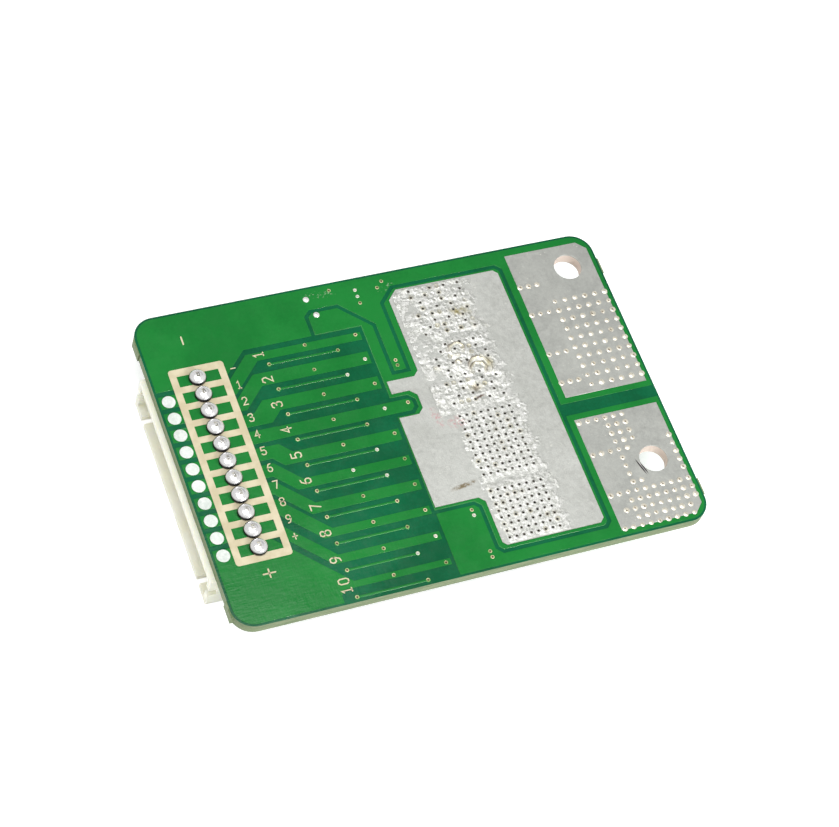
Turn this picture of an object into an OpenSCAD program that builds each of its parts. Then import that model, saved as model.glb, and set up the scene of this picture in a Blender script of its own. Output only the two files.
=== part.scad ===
// Battery management board for ten cells in series.
// Solder side up, component side down, an 11-pin side-entry header at the left edge.
// Origin: centre of the footprint, on the plane that the part stands on.

/* [Board] */
// Length of the board along X
board_l = 66; // [64:0.5:72]
// Width of the board along Y
board_w = 46; // [45:0.5:50]
// Thickness of the laminate
lam_t = 1.5; // [0.8:0.1:2.4]
// Corner radius of the board
corner_r = 3; // [1:0.5:4]
// How far the broken-off panel tabs stand proud of the edge
tab_proud = 0.2; // [0.1:0.05:0.5]
// Length of a panel tab along the edge
tab_len = 2.4; // [1.5:0.1:4]

/* [Copper] */
// Thickness of the solder mask on bare laminate
mask_t = 0.03; // [0.02:0.01:0.06]
// Thickness of a copper field with the mask on it
field_t = 0.1; // [0.07:0.01:0.12]
// Thickness of tinned copper
tin_t = 0.13; // [0.12:0.01:0.2]
// Copper is kept this far from the board edge
edge_gap = 0.3; // [0.2:0.05:0.5]
// Isolation gap between copper fields
iso_gap = 0.5; // [0.3:0.05:0.6]

/* [Header] */
// Number of pins
pin_count = 11; // [11:1:11]
// Distance between pins
pin_pitch = 2.54; // [2.5:0.01:2.6]
// Pin row, from the left board edge
pin_x = 6.15; // [5.8:0.05:6.6]
// Side of the square pin
pin_side = 0.64; // [0.5:0.02:0.7]
// Hole for a pin in the laminate
pin_hole_d = 1; // [0.96:0.02:1.2]
// How far a pin tip stands above the solder side
pin_tip = 1.2; // [1.1:0.05:1.6]
// Height of the housing
house_h = 6.1; // [5.6:0.1:7]
// How far the housing stands past the left board edge
house_over = 0.7; // [0.4:0.1:1.2]
// Depth of the housing behind the pin row
house_back = 2.3; // [1.8:0.1:3]
// Housing length beyond the first and last pin, each end
house_end = 2.45; // [2.2:0.05:3]
// Wall of the housing
house_wall = 0.9; // [0.7:0.05:1.1]
// Depth of the mouth
mouth_depth = 4.6; // [4:0.1:5]
// Width of the two key slots in the outer wall
key_w = 1; // [0.8:0.1:1.4]
// Length of the key slots from the mouth
key_len = 3.3; // [2.5:0.1:4]
// Key slots, inwards from the first and last pin
key_inset = 0.7; // [0.3:0.1:1]

/* [Cell channels] */
// First channel, from the far board edge
channel_top = 8.62; // [8.3:0.05:8.8]
// Last channel, from the near board edge
channel_bottom = 2.41; // [2.2:0.05:2.7]
// Copper strip at each pin
strip_w = 1.86; // [1.7:0.02:1.95]
// Width of a thin sense track
track_w = 0.35; // [0.25:0.05:0.5]
// Left end of the thin sense tracks, from the ladder frame
track_start = 5.85; // [5.7:0.05:6.4]
// Diameter of an edge pad
edge_pad_d = 1.78; // [1.5:0.02:1.8]
// Edge pads, from the left board edge
edge_pad_x = 1.5; // [1.3:0.05:1.6]

/* [Solder] */
// Diameter of a solder joint at a pin
joint_d = 2; // [1.7:0.05:2.1]
// Height of a solder joint
joint_h = 1.05; // [0.8:0.05:1.1]
// Diameter of an open via in the drain field
via_d = 0.36; // [0.3:0.02:0.5]
// Distance between vias in the drain field, along X
via_pitch_x = 1.02; // [1:0.01:1.05]
// Distance between vias in the drain field, along Y
via_pitch_y = 1; // [0.98:0.01:1.02]
// Radius of a solder-filled via
bump_r = 0.36; // [0.3:0.02:0.45]
// Height of a solder-filled via
bump_h = 0.2; // [0.1:0.02:0.3]

/* [Terminals] */
// Diameter of the terminal holes
hole_d = 3.9; // [3.2:0.1:4.3]
// Both terminal holes, from the right board edge
hole_from_right = 4.6; // [4.4:0.1:5.5]
// Battery terminal hole, from the far board edge
battery_hole_y = 4.9; // [4.5:0.1:6]
// Output terminal hole, from the near board edge
output_hole_y = 10; // [9.8:0.1:10.4]
// Length of both lands along X
land_l = 12; // [11.5:0.1:12.4]
// Right margin of the lands
land_margin = 0.8; // [0.7:0.05:1.2]
// Middle of the gap between the lands, from the near board edge
split_y = 19.75; // [19.6:0.05:20]
// Width of the bare gap between the battery and output copper
split_w = 1.8; // [1.4:0.1:2]
// Masked copper between the bare gap and a land
land_border = 0.85; // [0.7:0.05:1]
// Power stage between the cell stubs and the lands, along X
stage_l = 23.8; // [23.6:0.1:24.4]

/* [MOSFETs] */
// Distance between the MOSFETs
fet_pitch = 10.5; // [10.3:0.05:10.6]
// First MOSFET, from the near board edge
fet_first = 7.2; // [6.9:0.1:7.4]
// Drain tab's end, to the left of the lands
fet_to_land = 16.2; // [15.8:0.1:16.4]
// Width of a MOSFET
fet_w = 10; // [9.6:0.1:10.1]
// Height of a MOSFET
fet_h = 4.4; // [4:0.1:4.6]
// Length of the moulded body
fet_body_l = 8.9; // [8.6:0.1:9.2]
// Drain tab beyond the body
fet_tab_l = 1.4; // [1.1:0.1:1.6]

/* [Silkscreen] */
// Width of the ladder frame along X
frame_w = 7.5; // [7.2:0.1:7.8]
// Left side of the frame, ahead of the pin row
frame_ahead = 3.5; // [3.3:0.1:3.7]
// Frame beyond the first and last pin
frame_end = 1.9; // [1.7:0.05:2.1]
// Side rails of the frame
rail_w = 0.93; // [0.7:0.05:1.1]
// Rungs between the pins
rung_w = 0.92; // [0.8:0.02:1.1]
// Thickness of the ink
ink_t = 0.03; // [0.02:0.01:0.05]

/* [Hidden] */
$fn = 32;
over = 1;                                   // how far a cutter passes through what it cuts

mask_green = [0.02, 0.38, 0.2];
field_green = [0.13, 0.5, 0.22];
tin = [0.75, 0.76, 0.74];
solder = [0.82, 0.83, 0.84];
ink = [0.82, 0.77, 0.63];
cream = [0.93, 0.92, 0.82];
resin = [0.12, 0.12, 0.13];
ceramic = [0.16, 0.16, 0.18];

// Heights: z = 0 is the laminate's solder side while the pieces are drawn
under_z = -lam_t - mask_t;                  // face of the component-side mask
stand_z = -under_z + house_h;               // the housing's foot, below the laminate's solder side
pin_y0 = board_w / 2 + (pin_count - 1) * pin_pitch / 2;
function pin_y(i) = pin_y0 - i * pin_pitch;
channels = 10;
channel_pitch = (board_w - channel_top - channel_bottom) / (channels - 1);
function channel_y(k) = board_w - channel_top - k * channel_pitch;

// Lines that the copper fields share
land_x1 = board_l - land_margin;
land_x0 = land_x1 - land_l;
stub_end = land_x0 - stage_l;               // right end of the cell stubs
fet_x = land_x0 - fet_to_land;
lane_x = stub_end + iso_gap / 2;
lane_y = channel_y(0) + 0.87;
moat_x = land_x0 - 1.3;                     // isolation between the drain field and the lands
moat_y1 = board_w - 2.55;
moat_y0 = 2.05;
battery_land_y0 = split_y + split_w / 2 + land_border;
battery_land_y1 = board_w - 1.3;
output_land_y0 = 1;
output_land_y1 = split_y - split_w / 2 - land_border;
hole_x = board_l - hole_from_right;
battery_hole = [hole_x, board_w - battery_hole_y];
output_hole = [hole_x, output_hole_y];
corner_cut = 0.7;                           // chamfer where an isolation line turns
frame_x0 = pin_x - frame_ahead;
frame_x1 = frame_x0 + frame_w;
step_x = frame_x1 + 4.05;                   // where the pack positive field steps up to its stub

// Stub edges above and below the channel's via row
stub_above = [0.3, 1.1, 1.0, 0.7, 0.6, 0.4, 0.6, 0.5, 0.6, 0.5];
stub_below = [0.9, 0.8, 0.9, 1.1, 1.1, 1.0, 0.9, 0.7, 0.6, 0.4];
// Where the slanting edges of a trace meet its stub, from the ladder frame
fan_above = [3.2, 3.2, 3.2, 4.0, 4.7, 4.7, 5.1, 6.0, 5.5, 6.2];
fan_below = [4.5, 3.9, 5.1, 4.0, 3.1, 3.6, 4.2, 4.6, 4.6, 4.6];
ring_r = 0.36;
ring_t = 0.04;
ring_hole_r = 0.14;
stub_via_x = [stub_end - 7.85, stub_end - 0.7];
track_x0 = frame_x1 + track_start;
track_x1 = stub_end - 3.8;
track_drop = 1.75;                          // sense track below its channel's via row
long_stub = 3;                              // this stub runs on into the drain field
long_stub_end = stub_end + 3.3;

// ---------- helpers ----------

module part_frame() translate([-(board_l + tab_proud - house_over) / 2, -board_w / 2, stand_z]) children();

module plate(z, t) translate([0, 0, z]) linear_extrude(t) children();

// Rounded rectangle with exact arcs, set in from the board edge by d
module board_shape(d = 0) {
    r = corner_r - d;
    translate([corner_r, d]) square([board_l - 2 * corner_r, board_w - 2 * d]);
    translate([d, corner_r]) square([board_l - 2 * d, board_w - 2 * corner_r]);
    for (x = [corner_r, board_l - corner_r], y = [corner_r, board_w - corner_r])
        translate([x, y]) circle(r, $fn = 64);
}

// Moves every edge of a counter-clockwise outline inwards by d
function edge_dir(p, q) = (q - p) / norm(q - p);
function edge_in(p, q, d) = let(u = edge_dir(p, q)) p + d * [-u[1], u[0]];
function cross_at(p, u, q, v) = p + u * cross(q - p, v) / cross(u, v);
function inset(pts, d) = [for (i = [0 : len(pts) - 1])
    let(a = pts[(i + len(pts) - 1) % len(pts)], b = pts[i], c = pts[(i + 1) % len(pts)])
    cross_at(edge_in(a, b, d), edge_dir(a, b), edge_in(b, c, d), edge_dir(b, c))];

// Puts a component on the component side: its own +Z points away from the board
module under(x, y, turn = 0) translate([x, y, under_z]) rotate([180, 0, turn]) children();

// ---------- solder side copper ----------

out = edge_gap - iso_gap / 2;               // outer edges of a field before the isolation inset

loop_pts = [                                // isolation line round the drain field, upper left part
    [stub_end - 6.25, lane_y],
    [stub_end - 6.25, moat_y1 - 2],
    [stub_end - 5.5, moat_y1 - 1.25],
    [stub_end - 1.6, moat_y1 - 1.25],
    [stub_end + 2.3, moat_y1 - 5.15],
    [stub_end + 2.3, moat_y1 - 12.85],
    [stub_end + 4.5, moat_y1 - 12.85],
    [stub_end + 4.5, moat_y1 - 2.15],
    [stub_end + 6.65, moat_y1],
    [moat_x - corner_cut, moat_y1],
    [moat_x, moat_y1 - corner_cut]];

dock_pts = [                                // isolation line round the output field's left part
    [moat_x, moat_y0 + corner_cut],
    [moat_x - corner_cut, moat_y0],
    [stub_end + 7.25, moat_y0],
    [stub_end + 6.55, moat_y0 + corner_cut],
    [stub_end + 6.55, moat_y0 + 6.85],
    [stub_end + 5.9, moat_y0 + 7.5],
    [lane_x, moat_y0 + 7.5]];

negative_y = pin_y(0) - strip_w / 2 - iso_gap / 2;
negative_bend = frame_x1 + 3.3;
negative_region = concat(
    [[out, negative_y],
     [negative_bend - (lane_y - negative_y), negative_y],
     [negative_bend, lane_y]],
    loop_pts,
    [[moat_x, split_y + split_w / 2 - iso_gap / 2],
     [board_l - out, split_y + split_w / 2 - iso_gap / 2],
     [board_l - out, board_w - out], [out, board_w - out]]);

output_region = concat(
    [[lane_x, out], [board_l - out, out], [board_l - out, split_y - split_w / 2 + iso_gap / 2],
     [moat_x, split_y - split_w / 2 + iso_gap / 2]],
    dock_pts);

notch_y = channel_y(long_stub);
notch_x = long_stub_end + iso_gap / 2;
drain_region = concat(
    [for (i = [len(loop_pts) - 1 : -1 : 0]) loop_pts[i]],
    [[lane_x, lane_y],
     [lane_x, notch_y + 1], [notch_x - 0.7, notch_y + 1], [notch_x, notch_y + 0.3],
     [notch_x, notch_y - 0.7], [notch_x - 0.7, notch_y - 1.4], [lane_x, notch_y - 1.4]],
    [for (i = [len(dock_pts) - 1 : -1 : 0]) dock_pts[i]]);

// Outline of the tinned part of the drain field
tin_x1 = moat_x - iso_gap / 2 - 0.35;
tin_pts = [
    [lane_x + 0.45, moat_y0 + 8.15], [stub_end + 6.75, moat_y0 + 8.15], [stub_end + 7.5, moat_y0 + 7.4],
    [stub_end + 7.5, moat_y0 + 1.25], [stub_end + 8, moat_y0 + 0.75],
    [tin_x1 - 0.6, moat_y0 + 0.75], [tin_x1, moat_y0 + 1.35],
    [tin_x1, moat_y1 - 1.15], [tin_x1 - 0.6, moat_y1 - 0.55],
    [stub_end + 7, moat_y1 - 0.55], [stub_end + 5.6, moat_y1 - 1.95],
    [stub_end + 5.6, moat_y1 - 13.25], [stub_end + 4.85, moat_y1 - 14],
    [stub_end + 0.95, moat_y1 - 14], [stub_end + 0.95, notch_y + 1.8],
    [notch_x - 0.1, notch_y + 1.8], [notch_x + 0.75, notch_y + 0.95],
    [notch_x + 0.75, notch_y - 1.1], [notch_x - 0.05, notch_y - 1.9], [lane_x + 0.45, notch_y - 1.9]];

module within_board() intersection() { children(); board_shape(edge_gap); }

module pin_pads() for (i = [0 : pin_count - 1]) translate([pin_x, pin_y(i)]) circle(d = joint_d);

module edge_pad_discs() for (i = [1 : pin_count - 1])
    translate([edge_pad_x, pin_y(i)]) circle(d = edge_pad_d);

module battery_land_shape() {
    c = 1.25;
    difference() {
        polygon([[land_x0, battery_land_y0], [land_x1, battery_land_y0], [land_x1, battery_land_y1 - c],
            [land_x1 - c, battery_land_y1], [land_x0, battery_land_y1]]);
        translate(battery_hole) circle(d = hole_d);
    }
}

module output_land_shape() {
    c = 1.25;
    difference() {
        polygon([[land_x0 - 0.2, output_land_y0],
            [land_x1 - c, output_land_y0], [land_x1, output_land_y0 + c],
            [land_x1, output_land_y1], [land_x0 - 0.2, output_land_y1]]);
        translate(output_hole) circle(d = hole_d);
    }
}

module negative_shape() difference() {
    within_board() polygon(inset(negative_region, iso_gap / 2));
    pin_pads();
    battery_land_shape();
    translate(battery_hole) circle(d = hole_d);
}

module output_shape() difference() {
    within_board() polygon(inset(output_region, iso_gap / 2));
    output_land_shape();
    translate(output_hole) circle(d = hole_d);
}

module drain_shape() polygon(inset(drain_region, iso_gap / 2));

// Where a slanting edge that meets the stub edge y1 at x leaves the strip edge y0
function slant_x(x, y0, y1) = x - abs(y1 - y0);

// The copper of one cell: strip at the pin, slanting fan, wide stub
module trace_shape(k) {
    top0 = pin_y(k + 1) + strip_w / 2;
    bottom0 = pin_y(k + 1) - strip_w / 2;
    top1 = channel_y(k) + stub_above[k];
    bottom1 = channel_y(k) - stub_below[k];
    top_x = frame_x1 + fan_above[k];
    bottom_x = frame_x1 + fan_below[k];
    nose = k == long_stub
        ? [[long_stub_end - 0.5, bottom1], [long_stub_end, bottom1 + 0.5],
           [long_stub_end, top1 - 0.5], [long_stub_end - 0.5, top1]]
        : [[stub_end, bottom1], [stub_end, top1]];
    polygon(concat(
        [[edge_gap, bottom0], [slant_x(bottom_x, bottom0, bottom1), bottom0], [bottom_x, bottom1]],
        nose,
        [[top_x, top1], [slant_x(top_x, top0, top1), top0], [edge_gap, top0]]));
}

// Pack positive: the near left corner, the last pin's strip and the last stub
module positive_shape() {
    k = channels - 1;
    top0 = pin_y(k + 1) + strip_w / 2;
    top1 = channel_y(k) + stub_above[k];
    bottom1 = channel_y(k) - stub_below[k];
    top_x = frame_x1 + fan_above[k];
    difference() {
        within_board() polygon([[edge_gap, edge_gap], [step_x, edge_gap], [step_x, bottom1 - 0.65],
            [step_x + 0.65, bottom1], [stub_end, bottom1], [stub_end, top1], [top_x, top1],
            [slant_x(top_x, top0, top1), top0], [edge_gap, top0]]);
        pin_pads();
        edge_pad_discs();
    }
}

function track_y(k) = channel_y(k) - track_drop;

module track_shape(k) {
    translate([track_x0, track_y(k) - track_w / 2]) square([track_x1 - track_x0, track_w]);
    for (x = [track_x0, track_x1]) translate([x, track_y(k)]) circle(ring_r);
}

module laminate() {
    tabs = [[0, 3.1], [0, board_w - 3.9], [board_l, 4.6], [board_l, board_w - 5.6]];
    color([0.62, 0.62, 0.38]) part_frame() plate(-lam_t, lam_t) difference() {
        union() {
            board_shape();
            for (t = tabs) translate(t - [tab_proud, tab_len / 2]) square([2 * tab_proud, tab_len]);
        }
        for (h = [battery_hole, output_hole]) translate(h) circle(d = hole_d, $fn = 64);
        for (i = [0 : pin_count - 1]) translate([pin_x, pin_y(i)]) circle(d = pin_hole_d);
    }
}

// Mask on the bare laminate between the copper fields
module solder_mask() color(mask_green) part_frame() plate(0, mask_t) difference() {
    board_shape();
    negative_shape();
    positive_shape();
    output_shape();
    drain_shape();
    battery_land_shape();
    output_land_shape();
    for (k = [0 : channels - 2]) trace_shape(k);
    for (k = [0 : channels - 1]) track_shape(k);
    pin_pads();
    edge_pad_discs();
    for (h = [battery_hole, output_hole]) translate(h) circle(d = hole_d + 0.4);
}

module pack_negative_copper() color(field_green) part_frame() plate(0, field_t) negative_shape();

module pack_positive_copper() color(field_green) part_frame() plate(0, field_t) positive_shape();

module cell_traces() color(field_green) part_frame() plate(0, field_t)
    for (k = [0 : channels - 2]) difference() { trace_shape(k); pin_pads(); edge_pad_discs(); }

module sense_tracks() color(field_green) part_frame() plate(0, field_t)
    for (k = [0 : channels - 1]) track_shape(k);

module drain_copper() color(field_green) part_frame() plate(0, field_t)
    difference() { drain_shape(); polygon(tin_pts); }

module output_copper() color(field_green) part_frame() plate(0, field_t) output_shape();

// Open vias: a field of holes under each MOSFET, some of them closed by solder
via_cols = 8;
via_rows = [8, 10, 10, 8];
via_shift = [0, 0, 0.5, 0];
via_x0 = fet_x + 1.05;
function fet_y(f) = fet_first + f * fet_pitch;
function via_y(f, row) = fet_y(f) + via_shift[f] + (row - (via_rows[f] - 1) / 2) * via_pitch_y;
function via_open(f, row, col) = f < 2 || (5 * row + 3 * col) % 7 < 3;

module drain_tinning() color(tin) part_frame() plate(0, tin_t) difference() {
    polygon(tin_pts);
    for (f = [0 : 3], row = [0 : via_rows[f] - 1], col = [0 : via_cols - 1])
        if (via_open(f, row, col))
            translate([via_x0 + col * via_pitch_x, via_y(f, row)]) circle(d = via_d, $fn = 16);
}

// Round cap of radius r and height h
module cap(r, h, sides = 32) {
    ball = (r * r + h * h) / (2 * h);
    intersection() {
        translate([0, 0, h - ball]) sphere(ball, $fn = sides);
        cylinder(r = r + 0.1, h = h + 0.1);
    }
}

// Solder that ran together over the closed vias of the third MOSFET
splash = [[3.1, 4, 1.6, 0.35], [4.6, 2.8, 1.2, 0.3], [5.9, 0.9, 1.4, 0.4], [4.2, 0.1, 1.7, 0.3],
    [2.6, 1.3, 1.1, 0.25], [3, -1.6, 1.2, 0.3], [6.2, -1.1, 1, 0.25]];
module drain_solder_splash() color(solder) part_frame() translate([via_x0, fet_y(2), tin_t])
    for (s = splash) translate([s[0], s[1], 0]) cap(s[2], s[3], 128);

module battery_land() color(tin) part_frame() plate(0, tin_t) battery_land_shape();

module output_land() color(tin) part_frame() plate(0, tin_t) output_land_shape();

module bump(x, y) translate([x, y, tin_t]) cap(bump_r, bump_h);

grid = 1.27;                                // grid of the filled vias
module battery_via_bumps() {
    wide_pitch = 1.5;
    rows = 10;
    short_rows = [2.3, 6.9, 13.3, 17.85];   // rows beside the sources, above the land's near edge
    color(solder) part_frame() {
        for (i = [0 : 5], j = [0 : rows - 1])
            bump(land_x1 - 0.2 - i * wide_pitch, battery_land_y0 + 1.2 + j * wide_pitch);
        for (y = short_rows, i = [0 : 2]) bump(land_x0 + 0.3 + i * grid, battery_land_y0 + y);
    }
}

// Filled vias of the output land: [row, first column, last column]
output_rows = [[0, 0, 8], [1, 2, 8], [2, 1, 9], [3, 2, 9], [4, 0, 9], [5, 3, 4], [6, 3, 3], [7, 3, 3],
    [8, 3, 3], [9, 0, 4], [10, 3, 5], [11, 3, 5], [12, 3, 5], [13, 0, 5],
    [5.4, 9, 9], [6.4, 9, 9], [7.4, 9, 9], [8.4, 9, 9], [9.4, 9, 9]];
module output_via_bumps() color(solder) part_frame()
    for (r = output_rows, col = [r[1] : r[2]])
        bump(land_x1 - 0.3 - (9 - col) * grid, output_land_y0 + 0.1 + r[0] * (grid - 0.015));

module edge_pads() color(tin) part_frame() plate(0, tin_t) edge_pad_discs();

// Small vias: [x, y] in the fields, beside those of the stubs and tracks
loose_vias = [
    [stub_end - 5.4, moat_y1 + 0.65], [stub_end - 4.8, moat_y1 - 1.95],
    [stub_end + 1.6, moat_y1 + 0.65], [stub_end + 1.6, moat_y1 - 0.4], [stub_end + 1.6, moat_y1 - 1.45],
    [stub_end + 3.25, moat_y1 - 11.05], [stub_end + 3.25, moat_y1 - 11.85],
    [stub_end + 4.7, moat_y1 + 0.35], [stub_end + 5.6, moat_y1 + 1.2], [stub_end - 1.9, moat_y1 + 1.35],
    [stub_end + 5.25, moat_y0 + 6.65], [stub_end + 5.25, moat_y0 + 5.85],
    [stub_end + 5.45, moat_y0 + 0.45], [stub_end + 5.45, moat_y0 - 0.4],
    [long_stub_end - 0.65, notch_y + 0.15]];
module ring() difference() {
    cylinder(r = ring_r, h = ring_t);
    translate([0, 0, -over]) cylinder(r = ring_hole_r, h = ring_t + 2 * over);
}
module via_rings() color(tin) part_frame() translate([0, 0, field_t]) {
    for (k = [0 : channels - 1], x = stub_via_x) translate([x, channel_y(k), 0]) ring();
    for (k = [0 : channels - 1], x = [track_x0, track_x1]) translate([x, track_y(k), 0]) ring();
    for (v = loose_vias) translate([v[0], v[1], 0]) ring();
}

module silkscreen_frame() {
    r = 0.45;
    y0 = pin_y(pin_count - 1) - frame_end;
    y1 = pin_y(0) + frame_end;
    color(ink) part_frame() plate(field_t, ink_t) difference() {
        union() {
            translate([frame_x0 + r, y0]) square([frame_w - 2 * r, y1 - y0]);
            translate([frame_x0, y0 + r]) square([frame_w, y1 - y0 - 2 * r]);
            for (x = [frame_x0 + r, frame_x1 - r], y = [y0 + r, y1 - r]) translate([x, y]) circle(r);
        }
        for (i = [0 : pin_count - 1])
            translate([frame_x0 + rail_w, pin_y(i) - (pin_pitch - rung_w) / 2])
                square([frame_w - 2 * rail_w, pin_pitch - rung_w]);
        pin_pads();
    }
}

// ---------- header ----------

house_x0 = -house_over;
house_x1 = pin_x + house_back;
house_y0 = pin_y(pin_count - 1) - house_end;
house_y1 = pin_y(0) + house_end;
mouth_x = house_x0 + mouth_depth;           // back of the mouth
pocket_x = pin_x - pin_side / 2 - 0.8;      // the pins bend down in a pocket open to the back and the board
bar_z = under_z - house_h / 2 - 0.1;        // middle of the pins' level part

module header_housing() color(cream) part_frame() difference() {
    translate([house_x0, house_y0, under_z - house_h])
        cube([house_x1 - house_x0, house_y1 - house_y0, house_h]);
    // mouth
    translate([house_x0 - over, house_y0 + house_wall, under_z - house_h + house_wall])
        cube([mouth_depth + over, house_y1 - house_y0 - 2 * house_wall, house_h - 2 * house_wall]);
    // pocket behind the pin row
    translate([pocket_x, house_y0 + 1.3, under_z - house_h + house_wall])
        cube([house_x1 - pocket_x + over, house_y1 - house_y0 - 2.6, house_h]);
    // key slots in the outer wall
    for (y = [pin_y(0) - key_inset, pin_y(pin_count - 1) + key_inset])
        translate([house_x0 - over, y - key_w / 2, under_z - house_h - over])
            cube([key_len + over, key_w, house_wall + 2 * over]);
    // notch in each end wall
    for (y = [house_y0 - over, house_y1 - house_wall])
        translate([house_x0 - over, y, under_z - house_h / 2 - 0.6])
            cube([1.2 + over, house_wall + over, 1.2]);
    // the pins' own channels
    for (i = [0 : pin_count - 1])
        translate([mouth_x - over, pin_y(i) - pin_side / 2, bar_z - pin_side / 2])
            cube([pocket_x - mouth_x + 2 * over, pin_side, pin_side]);
}

// One bent square pin: level in the mouth, upright through the board, both ends bevelled
module pin() {
    s = pin_side / 2;
    b = 0.15;
    tip_x = house_x0 + 1;
    rotate([90, 0, 0]) translate([0, 0, -s]) linear_extrude(pin_side) polygon([
        [tip_x, bar_z - s + b], [tip_x + 2 * b, bar_z - s], [pin_x + s, bar_z - s],
        [pin_x + s, pin_tip - 2 * b], [pin_x + s - b, pin_tip], [pin_x - s + b, pin_tip],
        [pin_x - s, pin_tip - 2 * b], [pin_x - s, bar_z + s],
        [tip_x + 2 * b, bar_z + s], [tip_x, bar_z + s - b]]);
}

module header_pins() color([0.8, 0.78, 0.7]) part_frame()
    for (i = [0 : pin_count - 1]) translate([0, pin_y(i), 0]) pin();

// Solder wets the pin's land and rises to a round dome
module solder_joints() color(solder) part_frame()
    for (i = [0 : pin_count - 1]) translate([pin_x, pin_y(i), 0]) difference() {
        union() {
            cylinder(d = joint_d, h = field_t);
            translate([0, 0, field_t]) cap(joint_d / 2 - 0.02, joint_h - field_t);
        }
        translate([-pin_side / 2, -pin_side / 2, -over]) cube([pin_side, pin_side, joint_h + 2 * over]);
    }

// ---------- component side ----------

land_t = 0.06;                              // tinned land, from the laminate
seat = land_t - mask_t;                     // height of a land above the mask
comp_field_t = 0.05;                        // masked copper, from the laminate

// Gull-wing lead, from the body's side at height z down to its foot
module gull(z, out_l, foot, t, w) rotate([90, 0, 0]) translate([0, 0, -w / 2]) linear_extrude(w)
    polygon([[0, z + t], [0, z], [out_l, z], [out_l, seat], [out_l + foot, seat], [out_l + foot, seat + t],
        [out_l + t, seat + t], [out_l + t, z + t]]);

// MOSFET in the D2PAK outline: drain tab at x = 0, leads towards +X
fet_lead_x = fet_tab_l + fet_body_l;
fet_lead_y = [-2.54, 2.54];
fet_foot = 1.8;
fet_reach = 2.2;
tab_t = 1.3;
tab_w = fet_w - 1.4;
tab_in = 5.5;                               // tab under the body

module fet_tab() difference() {
    translate([0, -tab_w / 2, seat]) cube([fet_tab_l + tab_in, tab_w, tab_t]);
    for (s = [-1, 1]) translate([fet_tab_l - 0.5, s * tab_w / 2, -over])
        cylinder(r = 0.5, h = tab_t + 2 * over);
}

module fet_body() {
    draft = 0.3;
    foot_z = 0.12;
    difference() {
        rotate([90, 0, 0]) translate([0, 0, -fet_w / 2]) linear_extrude(fet_w) polygon([
            [fet_tab_l, foot_z], [fet_lead_x - 0.4, foot_z], [fet_lead_x, 2.3], [fet_lead_x - draft, fet_h],
            [fet_tab_l + 2 * draft, fet_h], [fet_tab_l, fet_h - 1]]);
        translate([fet_tab_l - over, -tab_w / 2, -over]) cube([tab_in + over, tab_w, seat + tab_t + over]);
        translate([fet_lead_x - 2.4, 0, fet_h - 0.12]) cylinder(d = 1.6, h = over);
    }
}

module fet_leads() {
    for (y = fet_lead_y) translate([fet_lead_x, y, 0]) gull(2.3, fet_reach, fet_foot, 0.5, 0.85);
    translate([fet_lead_x, -0.5, 2.3]) cube([0.9, 1, 0.5]);
}

module each_fet() for (f = [0 : 3]) under(fet_x, fet_y(f)) children();

// Two-ended chip along X: body between two plated ends that wrap it
module chip_body(l, w, h, end) translate([end - l / 2, -w / 2, seat + 0.04]) cube([l - 2 * end, w, h - 0.04]);
module chip_end_pair(l, w, h, end) for (s = [0, 1]) mirror([s, 0, 0])
    translate([l / 2 - end, -w / 2, seat]) cube([end, w, h]);
module chip_land_pair(l, w, end) for (s = [0, 1]) mirror([s, 0])
    translate([l / 2 - end - 0.1, -w / 2 - 0.1]) square([end + 0.5, w + 0.2]);

// Small moulded package: body long in Y, leads along both sides
module pack_body(l, w, h) {
    d = 0.12;
    rotate([90, 0, 0]) translate([0, 0, -l / 2]) linear_extrude(l) polygon([
        [-w / 2 + d, 0.1], [w / 2 - d, 0.1], [w / 2, h * 0.5],
        [w / 2 - d, h], [-w / 2 + d, h], [-w / 2, h * 0.5]]);
}
module pack_leads(w, h, reach, foot, lead_w, right, left) {
    z = h * 0.5 - 0.08;
    for (y = right) translate([w / 2, y, 0]) gull(z, reach, foot, 0.15, lead_w);
    for (y = left) translate([-w / 2, y, 0]) mirror([1, 0, 0]) gull(z, reach, foot, 0.15, lead_w);
}
module pack_lands(w, reach, foot, lead_w, right, left) {
    m = 0.12;
    for (y = right) translate([w / 2 + reach - m, y - lead_w / 2 - m]) square([foot + 3 * m, lead_w + 2 * m]);
    for (y = left) translate([-w / 2 - reach - foot - 2 * m, y - lead_w / 2 - m])
        square([foot + 3 * m, lead_w + 2 * m]);
}

module each_channel(x, dy = 0) for (k = [0 : channels - 1]) under(x, channel_y(k) + dy) children();

sot_l = 2.9;
sot_reach = 0.25;                           // lead of a small package, level part and foot
sot_foot = 0.35;
monitor_w = 1.6;
monitor_h = 1.15;
monitor_rows = [-0.95, 0, 0.95];
transistor_w = 1.3;
transistor_h = 1.05;
transistor_right = [0];
transistor_left = [-0.95, 0.95];
driver_l = 4.9;
driver_w = 3.9;
driver_h = 1.6;
driver_rows = [-1.905, -0.635, 0.635, 1.905];
driver_x = stub_end + 3.6;
driver_y = [board_w - 12, 15];
resistor_gap = 0.343;                       // between neighbouring balance resistors
resistor = [3.2, channel_pitch / 2 - resistor_gap, 0.6, 0.5];   // length, width, height, end
chip = [1.6, 0.8, 0.45, 0.3];
cap_chip = [1.6, 0.8, 0.8, 0.3];
shunt = [6.4, 3.2, 0.7, 1.1];
resistor_dy = channel_pitch / 4;
small_dy = 0.95;

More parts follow.
